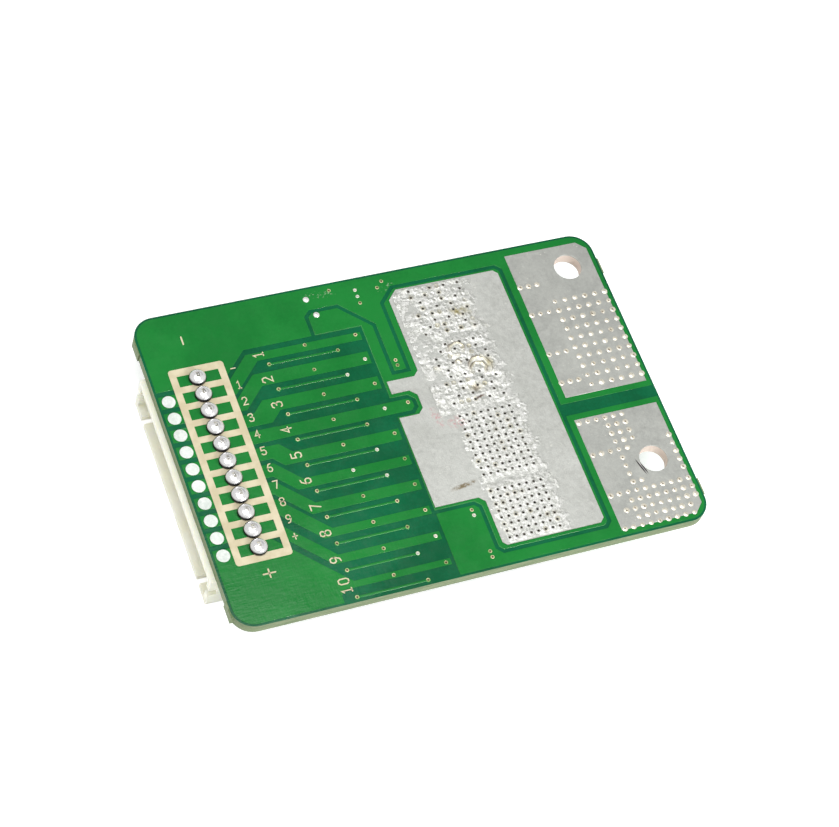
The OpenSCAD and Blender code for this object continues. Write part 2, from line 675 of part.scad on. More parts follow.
// Places along X in every channel, with equal gaps from the stubs' end towards the header
monitor_span = monitor_w + 2 * (sot_reach + sot_foot);
transistor_span = transistor_w + 2 * (sot_reach + sot_foot);
row_gap = (stub_end - house_x1 - resistor[0] - transistor_span - monitor_span - chip[0] - cap_chip[0]) / 7.7;
resistor_x = stub_end - row_gap - resistor[0] / 2;
transistor_x = resistor_x - resistor[0] / 2 - row_gap - transistor_span / 2;
monitor_x = transistor_x - transistor_span / 2 - row_gap - monitor_span / 2;
small_r_x = monitor_x - monitor_span / 2 - row_gap - chip[0] / 2;
small_c_x = small_r_x - chip[0] / 2 - row_gap - cap_chip[0] / 2;
shunt_x = land_x0 + 2.7;
shunt_pitch = 4.2;
shunt_y0 = battery_land_y0 + 2.6;
module each_shunt() for (i = [0 : 3]) under(shunt_x, shunt_y0 + i * shunt_pitch) children();
module each_driver() for (y = driver_y) under(driver_x, y) children();
module each_small_resistor() for (dy = [-small_dy, small_dy]) each_channel(small_r_x, dy) children();
module each_balance_resistor() for (dy = [-resistor_dy, resistor_dy])
    each_channel(resistor_x, dy) children();

module flat_under(x, y) translate([x, y]) mirror([0, 1]) children();
module fet_land_shape() {
    translate([-0.4, -tab_w / 2 - 0.3]) square([tab_in + fet_tab_l + 1, tab_w + 0.6]);
    for (y = fet_lead_y) translate([fet_lead_x + fet_reach - 0.3, y - 0.75]) square([fet_foot + 0.7, 1.5]);
}
module component_land_shapes() {
    for (f = [0 : 3]) flat_under(fet_x, fet_y(f)) fet_land_shape();
    for (k = [0 : channels - 1]) {
        y = channel_y(k);
        flat_under(monitor_x, y)
            pack_lands(monitor_w, sot_reach, sot_foot, 0.4, monitor_rows, monitor_rows);
        flat_under(transistor_x, y)
            pack_lands(transistor_w, sot_reach, sot_foot, 0.42, transistor_right, transistor_left);
        for (dy = [-resistor_dy, resistor_dy])
            flat_under(resistor_x, y + dy) chip_land_pair(resistor[0], resistor[1], resistor[3]);
        for (dy = [-small_dy, small_dy])
            flat_under(small_r_x, y + dy) chip_land_pair(chip[0], chip[1], chip[3]);
        flat_under(small_c_x, y) chip_land_pair(cap_chip[0], cap_chip[1], cap_chip[3]);
    }
    for (i = [0 : 3])
        flat_under(shunt_x, shunt_y0 + i * shunt_pitch) chip_land_pair(shunt[0], shunt[1], shunt[3]);
    for (y = driver_y)
        flat_under(driver_x, y) pack_lands(driver_w, 0.45, 0.6, 0.42, driver_rows, driver_rows);
    for (h = [battery_hole, output_hole])
        translate(h) difference() { circle(d = hole_d + 3.2); circle(d = hole_d); }
}

// Masked copper of the component side: drain, source, battery and output fields and the channels' tracks
field_m = 0.5;                              // corner chamfer of a field
module field_shape(x0, y0, x1, y1) polygon([[x0 + field_m, y0], [x1 - field_m, y0], [x1, y0 + field_m],
    [x1, y1 - field_m], [x1 - field_m, y1], [x0 + field_m, y1], [x0, y1 - field_m], [x0, y0 + field_m]]);
drain_field_x0 = fet_x - 1;
drain_field_x1 = fet_x + fet_tab_l + tab_in + 1.4;
source_x0 = fet_x + fet_lead_x + fet_reach - 0.9;
source_x1 = shunt_x - 1.2;
module component_field_shapes() {
    mid_y = (fet_y(1) + fet_y(2)) / 2;
    field_shape(drain_field_x0, 1, drain_field_x1, board_w - 1);
    field_shape(source_x0, mid_y + 0.4, source_x1, battery_land_y1 - 2);
    field_shape(shunt_x + 1.2, battery_land_y0, land_x1, battery_land_y1);
    field_shape(source_x0, output_land_y0, land_x1, mid_y - 0.4);
    for (k = [0 : channels - 1], dy = [-small_dy, small_dy])
        translate([small_r_x + 1, channel_y(k) + dy - 0.15]) square([monitor_x - small_r_x - 2.6, 0.3]);
    for (k = [0 : channels - 1]) {
        translate([transistor_x + 1, channel_y(k) - 0.2]) square([resistor_x - transistor_x - 1.8, 0.4]);
        translate([small_c_x - 0.3, channel_y(k) - 0.15]) square([1.6, 0.3]);
        translate([resistor_x + 1.3, channel_y(k) - 1.6]) square([row_gap, 3.2]);
    }
}

module component_mask() color(mask_green) part_frame() plate(under_z, mask_t) difference() {
    board_shape();
    component_land_shapes();
    component_field_shapes();
    for (h = [battery_hole, output_hole]) translate(h) circle(d = hole_d + 0.4);
    for (i = [0 : pin_count - 1]) translate([pin_x, pin_y(i)]) circle(d = pin_hole_d + 0.6);
}

module component_copper() color(field_green) part_frame()
    plate(-lam_t - comp_field_t, comp_field_t) difference() {
        component_field_shapes();
        component_land_shapes();
        for (h = [battery_hole, output_hole]) translate(h) circle(d = hole_d);
    }

module component_lands() color(tin) part_frame() plate(-lam_t - land_t, land_t) component_land_shapes();

module mosfet_bodies() color(resin) part_frame() each_fet() fet_body();

module mosfet_tabs() color(tin) part_frame() each_fet() fet_tab();

module mosfet_leads() color(tin) part_frame() each_fet() fet_leads();

module shunt_elements() color([0.35, 0.33, 0.3]) part_frame()
    each_shunt() chip_body(shunt[0], shunt[1], shunt[2], shunt[3]);

module shunt_ends() color(tin) part_frame()
    each_shunt() chip_end_pair(shunt[0], shunt[1], shunt[2], shunt[3]);

module monitor_ics() color(resin) part_frame() each_channel(monitor_x) pack_body(sot_l, monitor_w, monitor_h);

module monitor_leads() color(tin) part_frame()
    each_channel(monitor_x)
        pack_leads(monitor_w, monitor_h, sot_reach, sot_foot, 0.4, monitor_rows, monitor_rows);

module balance_transistors() color(resin) part_frame()
    each_channel(transistor_x) pack_body(sot_l, transistor_w, transistor_h);

module transistor_leads() color(tin) part_frame()
    each_channel(transistor_x)
        pack_leads(transistor_w, transistor_h, sot_reach, sot_foot, 0.42,
            transistor_right, transistor_left);

module balance_resistors() color(ceramic) part_frame()
    each_balance_resistor() chip_body(resistor[0], resistor[1], resistor[2], resistor[3]);

module balance_ends() color(tin) part_frame()
    each_balance_resistor() chip_end_pair(resistor[0], resistor[1], resistor[2], resistor[3]);

module chip_resistors() color(ceramic) part_frame()
    each_small_resistor() chip_body(chip[0], chip[1], chip[2], chip[3]);

module chip_capacitors() color([0.72, 0.6, 0.45]) part_frame()
    each_channel(small_c_x) chip_body(cap_chip[0], cap_chip[1], cap_chip[2], cap_chip[3]);

module chip_ends() color(tin) part_frame() {
    each_small_resistor() chip_end_pair(chip[0], chip[1], chip[2], chip[3]);
    each_channel(small_c_x) chip_end_pair(cap_chip[0], cap_chip[1], cap_chip[2], cap_chip[3]);
}

module driver_ics() color(resin) part_frame() each_driver() pack_body(driver_l, driver_w, driver_h);

module driver_leads() color(tin) part_frame()
    each_driver() pack_leads(driver_w, driver_h, 0.45, 0.6, 0.42, driver_rows, driver_rows);

laminate();
solder_mask();
component_mask();
pack_negative_copper();
pack_positive_copper();
cell_traces();
sense_tracks();
drain_copper();
output_copper();
drain_tinning();
drain_solder_splash();
battery_land();
output_land();
battery_via_bumps();
output_via_bumps();
edge_pads();
via_rings();
silkscreen_frame();
header_housing();
header_pins();
solder_joints();
component_copper();
component_lands();
mosfet_bodies();
mosfet_tabs();
mosfet_leads();
shunt_elements();
shunt_ends();
monitor_ics();
monitor_leads();
balance_transistors();
transistor_leads();
balance_resistors();
balance_ends();
chip_resistors();
chip_capacitors();
chip_ends();
driver_ics();
driver_leads();
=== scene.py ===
import math

import bmesh
import bpy
import numpy as np
from mathutils import Matrix, Vector


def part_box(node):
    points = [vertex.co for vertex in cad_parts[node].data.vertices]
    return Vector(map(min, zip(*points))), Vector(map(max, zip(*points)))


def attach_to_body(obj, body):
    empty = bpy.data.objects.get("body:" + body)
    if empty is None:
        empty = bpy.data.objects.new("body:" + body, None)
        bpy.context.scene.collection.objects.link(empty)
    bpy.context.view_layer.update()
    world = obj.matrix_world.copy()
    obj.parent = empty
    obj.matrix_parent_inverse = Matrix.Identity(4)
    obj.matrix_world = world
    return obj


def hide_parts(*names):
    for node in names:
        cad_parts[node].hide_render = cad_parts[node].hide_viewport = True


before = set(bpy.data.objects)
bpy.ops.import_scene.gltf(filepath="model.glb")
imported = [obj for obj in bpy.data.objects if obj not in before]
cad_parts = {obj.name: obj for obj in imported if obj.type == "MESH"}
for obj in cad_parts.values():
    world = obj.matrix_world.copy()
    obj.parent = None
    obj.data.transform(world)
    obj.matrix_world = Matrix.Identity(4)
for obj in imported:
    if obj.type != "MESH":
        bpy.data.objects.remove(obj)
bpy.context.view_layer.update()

MM = 0.001
FIELD_TOP = 0.10        # masked copper above the laminate, mm
TIN_TOP = 0.13          # tinned copper above the laminate, mm
TAB = 0.2               # the broken tabs stand this far outside the board, mm
PIN_PITCH = 2.54
PINS = 11
TERMINAL_HOLES = ((61.4, 41.1), (61.4, 10.0))
HOLE_TINT_R = 2.3       # the drilled walls of the terminal holes are paler than the sawn edge

board_low, board_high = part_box("laminate")
ORIGIN = Vector((board_low.x + TAB * MM, board_low.y, board_high.z))


def at(x, y, z=0.0):
    """A place in millimetres from the board's near left corner on the solder side, in the row frame."""
    return ORIGIN + Vector((x, y, z)) * MM


def in_board(point):
    """The reverse of at()."""
    return (Vector(point) - ORIGIN) / MM


# ---------- node materials ----------

class Nodes:
    """A node material under construction. Its helpers take numbers or other nodes' outputs."""

    def __init__(self, name):
        self.material = bpy.data.materials.new(name)
        self.material.use_nodes = True
        self.tree = self.material.node_tree
        self.tree.nodes.clear()
        self.output = self.tree.nodes.new("ShaderNodeOutputMaterial")
        self.shader = self.tree.nodes.new("ShaderNodeBsdfPrincipled")
        self.tree.links.new(self.shader.outputs[0], self.output.inputs["Surface"])
        coordinates = self.tree.nodes.new("ShaderNodeTexCoord")
        self.place = self.math_vector("SCALE", coordinates.outputs["Object"], scale=1 / MM)
        self.facing = self.tree.nodes.new("ShaderNodeSeparateXYZ")
        self.tree.links.new(coordinates.outputs["Normal"], self.facing.inputs[0])

    def link(self, value, socket):
        if isinstance(value, bpy.types.NodeSocket):
            self.tree.links.new(value, socket)
        else:
            socket.default_value = value

    def set(self, **values):
        """Constants and links on the Principled shader, with _ for a space."""
        for key, value in values.items():
            self.link(value, self.shader.inputs[key.replace("_", " ")])
        return self

    def math_vector(self, operation, a, b=None, scale=None):
        node = self.tree.nodes.new("ShaderNodeVectorMath")
        node.operation = operation
        self.link(a, node.inputs[0])
        if b is not None:
            self.link(b, node.inputs[1])
        if scale is not None:
            node.inputs["Scale"].default_value = scale
        return node.outputs["Value" if operation in ("LENGTH", "DISTANCE", "DOT_PRODUCT") else "Vector"]

    def math(self, operation, a, b=0.0):
        node = self.tree.nodes.new("ShaderNodeMath")
        node.operation = operation
        self.link(a, node.inputs[0])
        self.link(b, node.inputs[1])
        return node.outputs[0]

    def noise(self, scale, detail=4.0, roughness=0.55, stretch=(1, 1, 1), distortion=0.0):
        """Noise with scale in cycles per millimetre."""
        node = self.tree.nodes.new("ShaderNodeTexNoise")
        self.link(self.math_vector("MULTIPLY", self.place, stretch), node.inputs["Vector"])
        node.inputs["Scale"].default_value = scale
        node.inputs["Detail"].default_value = detail
        node.inputs["Roughness"].default_value = roughness
        node.inputs["Distortion"].default_value = distortion
        return node.outputs["Fac"]

    def cells(self, scale):
        """Distance to the nearest of scattered points, with scale in points per millimetre."""
        node = self.tree.nodes.new("ShaderNodeTexVoronoi")
        self.link(self.place, node.inputs["Vector"])
        node.inputs["Scale"].default_value = scale
        return node.outputs["Distance"]

    def attribute(self, name):
        """A float that the mesh carries at its points, 0 where it has none."""
        node = self.tree.nodes.new("ShaderNodeAttribute")
        node.attribute_name = name
        return node.outputs["Fac"]

    def span(self, value, low, high, to_low=0.0, to_high=1.0):
        """Eases value from the range low..high into to_low..to_high, and holds it at the ends."""
        node = self.tree.nodes.new("ShaderNodeMapRange")
        node.interpolation_type = "SMOOTHSTEP"
        self.link(value, node.inputs["Value"])
        node.inputs["From Min"].default_value = low
        node.inputs["From Max"].default_value = high
        node.inputs["To Min"].default_value = to_low
        node.inputs["To Max"].default_value = to_high
        return node.outputs["Result"]

    def mix(self, factor, a, b):
        """Colour a where factor is 0 and colour b where it is 1."""
        node = self.tree.nodes.new("ShaderNodeMix")
        node.data_type = "RGBA"
        self.link(factor, node.inputs["Factor"])
        for value, index in ((a, 6), (b, 7)):
            self.link((*value, 1.0) if isinstance(value, tuple) else value, node.inputs[index])
        return node.outputs[2]

    def spot(self, x, y, rx, ry, turn=0.0, feather=0.5):
        """1 inside an ellipse at board position (x, y) in mm, falling to 0 outside it."""
        centre = in_board((0, 0, 0))
        shifted = self.math_vector("ADD", self.place, (centre.x - x, centre.y - y, 0.0))
        node = self.tree.nodes.new("ShaderNodeVectorRotate")
        node.rotation_type = "Z_AXIS"
        self.link(shifted, node.inputs["Vector"])
        node.inputs["Angle"].default_value = -math.radians(turn)
        scaled = self.math_vector("MULTIPLY", node.outputs[0], (1 / rx, 1 / ry, 0.0))
        return self.span(self.math_vector("LENGTH", scaled), 1 - feather, 1 + feather, 1.0, 0.0)

    def bump(self, height, distance, strength=1.0, below=None):
        """A normal that rises and falls by distance millimetres as height goes from 0 to 1."""
        node = self.tree.nodes.new("ShaderNodeBump")
        node.inputs["Strength"].default_value = strength
        node.inputs["Distance"].default_value = distance * MM
        self.link(height, node.inputs["Height"])
        if below is not None:
            self.link(below, node.inputs["Normal"])
        return node.outputs["Normal"]


def mask_material(name, colour, deep, smeared=False):
    """Glossy solder mask: cloudy colour, fine orange peel and the weave that shows through it."""
    m = Nodes(name)
    cloud = m.noise(0.09, 5, 0.6)
    fleck = m.noise(2.2, 3, 0.7)
    tone = m.math("ADD", m.math("MULTIPLY", cloud, 0.75), m.math("MULTIPLY", fleck, 0.25))
    weave = m.math("MULTIPLY", m.noise(0.9, 2, 0.5, (4, 0.6, 1)), m.noise(0.9, 2, 0.5, (0.6, 4, 1)))
    peel = m.bump(m.noise(1.4, 3, 0.5), 0.008)
    green = m.mix(m.span(tone, 0.38, 0.62), deep, colour)
    if smeared:
        smear = m.math("MAXIMUM", m.spot(25.9, 44.5, 1.8, 0.45, -8), m.spot(35.2, 43.6, 1.2, 0.4, 20))
        smear = m.math("MULTIPLY", smear, m.span(m.noise(3.2, 4, 0.75), 0.56, 0.66))
        green = m.mix(m.math("MULTIPLY", smear, 0.8), green, (0.50, 0.58, 0.44))
    m.set(Base_Color=green,
          Roughness=m.span(m.noise(0.5, 4), 0.3, 0.7, 0.13, 0.22),
          IOR=1.5,
          Normal=m.bump(weave, 0.02, 0.8, peel))
    return m.material


def tin_material(name, colour, shade, rough, ripple, metallic):
    """Levelled solder: soft ripples of ripple millimetres, fine grain and faint clouds."""
    m = Nodes(name)
    cloud = m.noise(0.16, 4, 0.6, distortion=0.4)
    mottle = m.noise(2.4, 5, 0.75)
    tone = m.math("ADD", m.math("MULTIPLY", cloud, 0.5), m.math("MULTIPLY", mottle, 0.5))
    fine = m.bump(m.noise(6.0, 3, 0.6), 0.02)
    m.set(Base_Color=m.mix(m.span(tone, 0.34, 0.66), shade, colour),
          Metallic=metallic,
          Roughness=m.span(m.noise(1.1, 5, 0.65), 0.3, 0.7, rough - 0.06, rough + 0.08),
          Normal=m.bump(m.noise(0.55, 3, 0.5, distortion=0.4), ripple, 1.0, fine))
    return m.material


def solder_skin_material():
    """Solder over the drain field: flat and clouded, frosty, stained or scorched where the mesh says so, with
    painted shade in the pits and on the faces turned towards +X.
    """
    m = Nodes("solder_skin")
    frost = m.attribute("frost")
    cloud = m.noise(0.16, 4, 0.6, distortion=0.4)
    mottle = m.noise(2.4, 5, 0.75)
    tone = m.math("ADD", m.math("MULTIPLY", cloud, 0.5), m.math("MULTIPLY", mottle, 0.5))
    flat = m.mix(m.span(tone, 0.34, 0.66), (0.54, 0.55, 0.51), (0.66, 0.67, 0.63))
    fleck = m.math("MULTIPLY", m.span(m.noise(2.8, 3, 0.75, (0.6, 1.4, 1)), 0.60, 0.70),
                   m.span(m.noise(0.17, 3, 0.6), 0.42, 0.62))
    flat = m.mix(m.math("MULTIPLY", fleck, 0.8), flat, (0.93, 0.92, 0.85))
    rough_tone = m.span(m.noise(1.9, 5, 0.78), 0.38, 0.58)
    frosted = m.mix(rough_tone, (0.56, 0.57, 0.52), (0.96, 0.96, 0.92))
    skin = m.mix(frost, flat, frosted)
    pink = m.math("MAXIMUM", m.spot(35.0, 22.8, 0.5, 1.6, 10), m.spot(37.4, 21.4, 1.1, 0.9))
    pink = m.math("MULTIPLY", pink, m.span(m.noise(2.2, 4, 0.7), 0.46, 0.62))
    skin = m.mix(m.math("MULTIPLY", pink, 0.7), skin, (0.66, 0.34, 0.35))
    streak = m.math("MULTIPLY", m.spot(35.0, 12.3, 1.9, 0.3, 8), m.span(m.noise(1.6, 4, 0.7), 0.36, 0.6))
    skin = m.mix(streak, skin, (0.25, 0.20, 0.12))
    skin = m.mix(m.attribute("flux"), skin, (0.47, 0.40, 0.17))
    # Painted shade: near black where pit marks the rims of open via holes and the middles of dimples.
    skin = m.mix(m.attribute("pit"), skin, (0.05, 0.04, 0.03))
    skin = m.mix(m.attribute("scorch"), skin, (0.09, 0.035, 0.02))
    # Painted shade: faces turned towards +X are darkened to brown.
    edge = m.math("MULTIPLY", m.span(m.facing.outputs["X"], 0.35, 0.7),
                  m.span(m.facing.outputs["Z"], 0.2, 0.8, 1.0, 0.0))
    skin = m.mix(edge, skin, (0.40, 0.27, 0.13))
    fine = m.bump(m.noise(6.0, 3, 0.6), 0.02)
    soft = m.bump(m.noise(0.55, 3, 0.5, distortion=0.4), 0.035, 1.0, fine)
    m.set(Base_Color=skin,
          Metallic=m.span(frost, 0.0, 1.0, 0.5, 0.68),
          Roughness=m.span(m.noise(1.4, 4, 0.7), 0.3, 0.7, 0.32, 0.48),
          Normal=m.bump(m.math("MULTIPLY", m.noise(2.2, 4, 0.65), frost), 0.06, 1.0, soft))
    return m.material


def well_material():
    """Painted shade for the open vias: a near-black disc down in each hole, with a trace of brown flux."""
    m = Nodes("via_shadow")
    residue = m.span(m.noise(3.0, 2), 0.4, 0.6)
    m.set(Base_Color=m.mix(residue, (0.012, 0.010, 0.008), (0.05, 0.035, 0.02)),
          Roughness=0.7)
    return m.material


def via_material():
    """A small via: a thin gold-tinted rim with painted shade in its hole, or a bright drop of solder."""
    m = Nodes("small_via")
    thin = m.span(m.noise(0.9, 3, 0.6), 0.42, 0.58)
    rim = m.mix(thin, (0.22, 0.34, 0.11), (0.62, 0.56, 0.33))
    # Painted shade: the hole in the middle of the rim is coloured near black.
    dark = m.mix(m.attribute("pit"), rim, (0.07, 0.025, 0.012))
    bright = m.attribute("bright")
    m.set(Base_Color=m.mix(bright, dark, (0.95, 0.94, 0.90)),
          Metallic=m.span(bright, 0.0, 1.0, 0.15, 0.6), Roughness=0.35)
    return m.material


def land_material():
    """The levelled lands for the terminals: grey, flecked, with a short scorched scratch by one hole, and
    painted shade on the faces turned towards +X.
    """
    m = Nodes("land_tin")
    cloud = m.noise(0.14, 4, 0.6, distortion=0.5)
    mottle = m.noise(2.2, 5, 0.75)
    tone = m.math("ADD", m.math("MULTIPLY", cloud, 0.5), m.math("MULTIPLY", mottle, 0.5))
    flat = m.mix(m.span(tone, 0.34, 0.66), (0.44, 0.45, 0.42), (0.54, 0.55, 0.51))
    fleck = m.math("MULTIPLY", m.span(m.noise(2.6, 3, 0.75), 0.62, 0.72), m.span(m.noise(0.2, 3), 0.45, 0.6))
    flat = m.mix(m.math("MULTIPLY", fleck, 0.7), flat, (0.92, 0.90, 0.82))
    turn = -74
    scratch = m.math("MAXIMUM", m.spot(59.2, 9.2, 1.2, 0.11, turn, 0.35),
                     m.spot(59.55, 8.9, 0.85, 0.1, turn, 0.35))
    burr = m.math("MULTIPLY", m.spot(59.38, 9.1, 0.8, 0.1, turn, 0.4), 0.8)
    flat = m.mix(burr, flat, (0.95, 0.94, 0.92))
    flat = m.mix(scratch, flat, (0.035, 0.03, 0.03))
    # Painted shade: faces turned towards +X are darkened to brown.
    edge = m.math("MULTIPLY", m.span(m.facing.outputs["X"], 0.35, 0.7),
                  m.span(m.facing.outputs["Z"], 0.2, 0.8, 1.0, 0.0))
    flat = m.mix(edge, flat, (0.36, 0.25, 0.14))
    fine = m.bump(m.noise(6.0, 3, 0.6), 0.02)
    m.set(Base_Color=flat, Metallic=0.5,
          Roughness=m.span(m.noise(1.1, 5, 0.65), 0.3, 0.7, 0.34, 0.48),
          Normal=m.bump(m.noise(0.55, 3, 0.5, distortion=0.4), 0.03, 1.0, fine))
    return m.material


def solder_material(name, rough, top, film_tone, side, low, high, metallic):
    """A drop of solder: a bright filmed top, with painted shade darkening the sides where the surface turns
    down.
    """
    m = Nodes(name)
    clean = m.mix(m.span(m.noise(2.0, 4, 0.6), 0.4, 0.7), film_tone, top)
    # Painted shade: the side colour takes over as the surface turns down.
    turned = m.span(m.facing.outputs["Z"], low, high)
    clean = m.mix(turned, side, clean)
    # Painted shade: pit darkens the pitted middles to brown.
    m.set(Base_Color=m.mix(m.attribute("pit"), clean, (0.24, 0.17, 0.09)),
          Metallic=metallic,
          Roughness=m.span(m.noise(4.0, 3), 0.3, 0.7, rough, rough + 0.14),
          Normal=m.bump(m.noise(1.3, 2), 0.02))
    return m.material


def laminate_material():
    """Sawn glass-epoxy: thin layers of glass cloth seen on edge, with cut fibres."""
    m = Nodes("sawn_laminate")
    layers = m.noise(1.0, 2, 0.5, (0.25, 0.25, 9))
    fibres = m.noise(3.0, 4, 0.7, (1, 1, 4))
    tone = m.math("ADD", m.math("MULTIPLY", layers, 0.6), m.math("MULTIPLY", fibres, 0.4))
    sawn = m.mix(m.span(tone, 0.35, 0.65), (0.10, 0.16, 0.06), (0.26, 0.31, 0.17))
    walls = [m.spot(*hole, HOLE_TINT_R, HOLE_TINT_R, 0, 0.05) for hole in TERMINAL_HOLES]
    drilled = m.math("MAXIMUM", *walls)
    m.set(Base_Color=m.mix(drilled, sawn, (0.84, 0.72, 0.64)),
          Roughness=0.62, IOR=1.5,
          Normal=m.bump(tone, 0.06))
    return m.material


def ink_material():
    """Screen-printed ink, thin at some places so that the green shows faintly through it."""
    m = Nodes("printed_ink")
    thin = m.span(m.noise(2.6, 5, 0.7), 0.60, 0.78)
    tone = m.span(m.noise(0.5, 3), 0.35, 0.65)
    ink = m.mix(tone, (0.56, 0.49, 0.32), (0.66, 0.59, 0.41))
    m.set(Base_Color=m.mix(thin, ink, (0.40, 0.38, 0.22)),
          Roughness=0.55, IOR=1.45,
          Normal=m.bump(m.noise(3.5, 3), 0.02))
    return m.material


def nylon_material():
    """Cream moulded nylon, slightly translucent."""
    m = Nodes("moulded_nylon")
    tone = m.span(m.noise(0.35, 4), 0.3, 0.7)
    m.set(Base_Color=m.mix(tone, (0.93, 0.92, 0.77), (0.97, 0.965, 0.85)),
          Roughness=m.span(m.noise(3.0, 4), 0.3, 0.7, 0.38, 0.52),
          Subsurface_Weight=0.25, Subsurface_Radius=(0.0012, 0.0010, 0.0006), Subsurface_Scale=1.0,
          Normal=m.bump(m.noise(5.0, 3), 0.015))
    return m.material


def resin_material(name, colour):
    """Moulded epoxy of a package: fine matt grain with a few filler specks."""
    rough = 0.55
    m = Nodes(name)
    speck = m.span(m.cells(5.0), 0.0, 0.12, 1.0, 0.0)
    lighter = tuple(c * 2.2 + 0.01 for c in colour)
    tone = m.mix(m.span(m.noise(1.2, 5, 0.7), 0.35, 0.7), colour, lighter)
    m.set(Base_Color=m.mix(m.math("MULTIPLY", speck, 0.25), tone, (0.16, 0.16, 0.16)),
          Roughness=m.span(m.noise(4.0, 3), 0.3, 0.7, rough - 0.08, rough + 0.08),
          Normal=m.bump(m.noise(9.0, 3, 0.7), 0.02))
    return m.material


def ceramic_material(name, colour, rough):
    """Glaze, coat or fired clay of a chip part."""
    m = Nodes(name)
    darker = tuple(c * 0.7 for c in colour)
    m.set(Base_Color=m.mix(m.span(m.noise(2.0, 4), 0.3, 0.7), darker, colour),
          Roughness=rough,
          Normal=m.bump(m.noise(8.0, 3), 0.01))
    return m.material


def metal_material(name, colour, rough, stretch=(1, 1, 1)):
    """Plated metal of leads and pins, drawn out along an axis by stretch."""
    m = Nodes(name)
    darker = tuple(c * 0.78 for c in colour)
    m.set(Base_Color=m.mix(m.span(m.noise(1.5, 4, 0.6, stretch), 0.3, 0.7), darker, colour),
          Metallic=1.0,
          Roughness=m.span(m.noise(3.0, 4, 0.6, stretch), 0.3, 0.7, rough - 0.05, rough + 0.1),
          Normal=m.bump(m.noise(6.0, 3, 0.6, stretch), 0.015))
    return m.material


def floor_material():
    """A pale floor that looks white to the camera and in reflections, and keeps the board's shadow."""
    m = Nodes("pale_floor")
    tone = m.span(m.noise(0.004, 2), 0.3, 0.7)
    path = m.tree.nodes.new("ShaderNodeLightPath")
    seen = m.math("MAXIMUM", path.outputs["Is Camera Ray"], path.outputs["Is Glossy Ray"])
    m.set(Base_Color=m.mix(tone, (0.90, 0.90, 0.90), (0.93, 0.93, 0.93)), Roughness=0.8,
          Emission_Color=(1.0, 1.0, 1.0, 1.0), Emission_Strength=m.math("MULTIPLY", seen, 0.45))
    return m.material


MASK_FIELD = mask_material("mask_over_copper", (0.012, 0.205, 0.034), (0.008, 0.165, 0.027), True)
MASK_BARE = mask_material("mask_over_laminate", (0.003, 0.125, 0.048), (0.002, 0.088, 0.032))
TIN = tin_material("levelled_tin", (0.74, 0.75, 0.71), (0.60, 0.61, 0.58), 0.36, 0.035, metallic=0.6)
LAND_TIN = land_material()
VIA_SHADOW = well_material()
VIA = via_material()
PAD_TIN = tin_material("pad_tin", (0.86, 0.89, 0.85), (0.60, 0.66, 0.61), 0.5, 0.03, metallic=0.3)
SOLDER_SKIN = solder_skin_material()
# The side colours, near black for the joints and brown for the points, are painted shade.
JOINT = solder_material("joint_solder", 0.10, (0.97, 0.96, 0.96), (0.90, 0.89, 0.89), (0.03, 0.03, 0.035),
                        0.40, 0.70, 0.75)
POINT = solder_material("point_solder", 0.26, (0.93, 0.89, 0.78), (0.80, 0.75, 0.62), (0.13, 0.10, 0.06),
                        0.50, 0.88, 0.6)
LAMINATE = laminate_material()
INK = ink_material()
NYLON = nylon_material()
RESIN = resin_material("package_resin", (0.012, 0.012, 0.013))
LEAD = metal_material("lead_tin", (0.70, 0.70, 0.68), 0.30, (1, 3, 1))
PIN_METAL = metal_material("pin_brass_tinned", (0.80, 0.77, 0.68), 0.24)
GLAZE = ceramic_material("resistor_glaze", (0.016, 0.016, 0.02), 0.22)
SHUNT_COAT = ceramic_material("shunt_coat", (0.035, 0.04, 0.038), 0.5)
FIRED_CLAY = ceramic_material("capacitor_ceramic", (0.34, 0.21, 0.10), 0.4)

NODE_MATERIALS = {
    LAMINATE: ["laminate"],
    MASK_BARE: ["solder_mask", "component_mask"],
    MASK_FIELD: ["component_copper"],
    TIN: ["component_lands"],
    INK: ["silkscreen_frame"],
    PIN_METAL: ["header_pins"],
    LEAD: ["mosfet_tabs", "mosfet_leads", "shunt_ends", "monitor_leads", "transistor_leads",
           "balance_ends", "chip_ends", "driver_leads"],
    GLAZE: ["balance_resistors", "chip_resistors"],
    SHUNT_COAT: ["shunt_elements"],
    FIRED_CLAY: ["chip_capacitors"],
    RESIN: ["monitor_ics", "balance_transistors", "driver_ics"],
}
for material, nodes in NODE_MATERIALS.items():
    for node in nodes:
        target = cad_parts[node]
        target.data.materials.clear()
        target.data.materials.append(material)


# ---------- mesh helpers ----------

EDGE_ANGLE = 35         # edges that turn by more are rounded, degrees
SHARP_ANGLE = 50        # edges of the rounded shape that turn by more are shaded sharp


def finish_piece(name, data, material, replaced=(), smooth=True):
    """Makes an object of a mesh, rides it on the board and hides the parts that it replaces."""
    data.materials.clear()
    data.materials.append(material)
    for polygon in data.polygons:
        polygon.use_smooth = smooth
    piece = bpy.data.objects.new(name, data)
    bpy.context.scene.collection.objects.link(piece)
    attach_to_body(piece, "root")
    if replaced:
        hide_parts(*replaced)
    return piece


def mesh_from(name, points, faces):
    """A mesh of points in metres and faces that index them."""
    data = bpy.data.meshes.new(name)
    data.from_pydata([tuple(p) for p in points], [], [tuple(f) for f in faces])
    data.update()
    return data


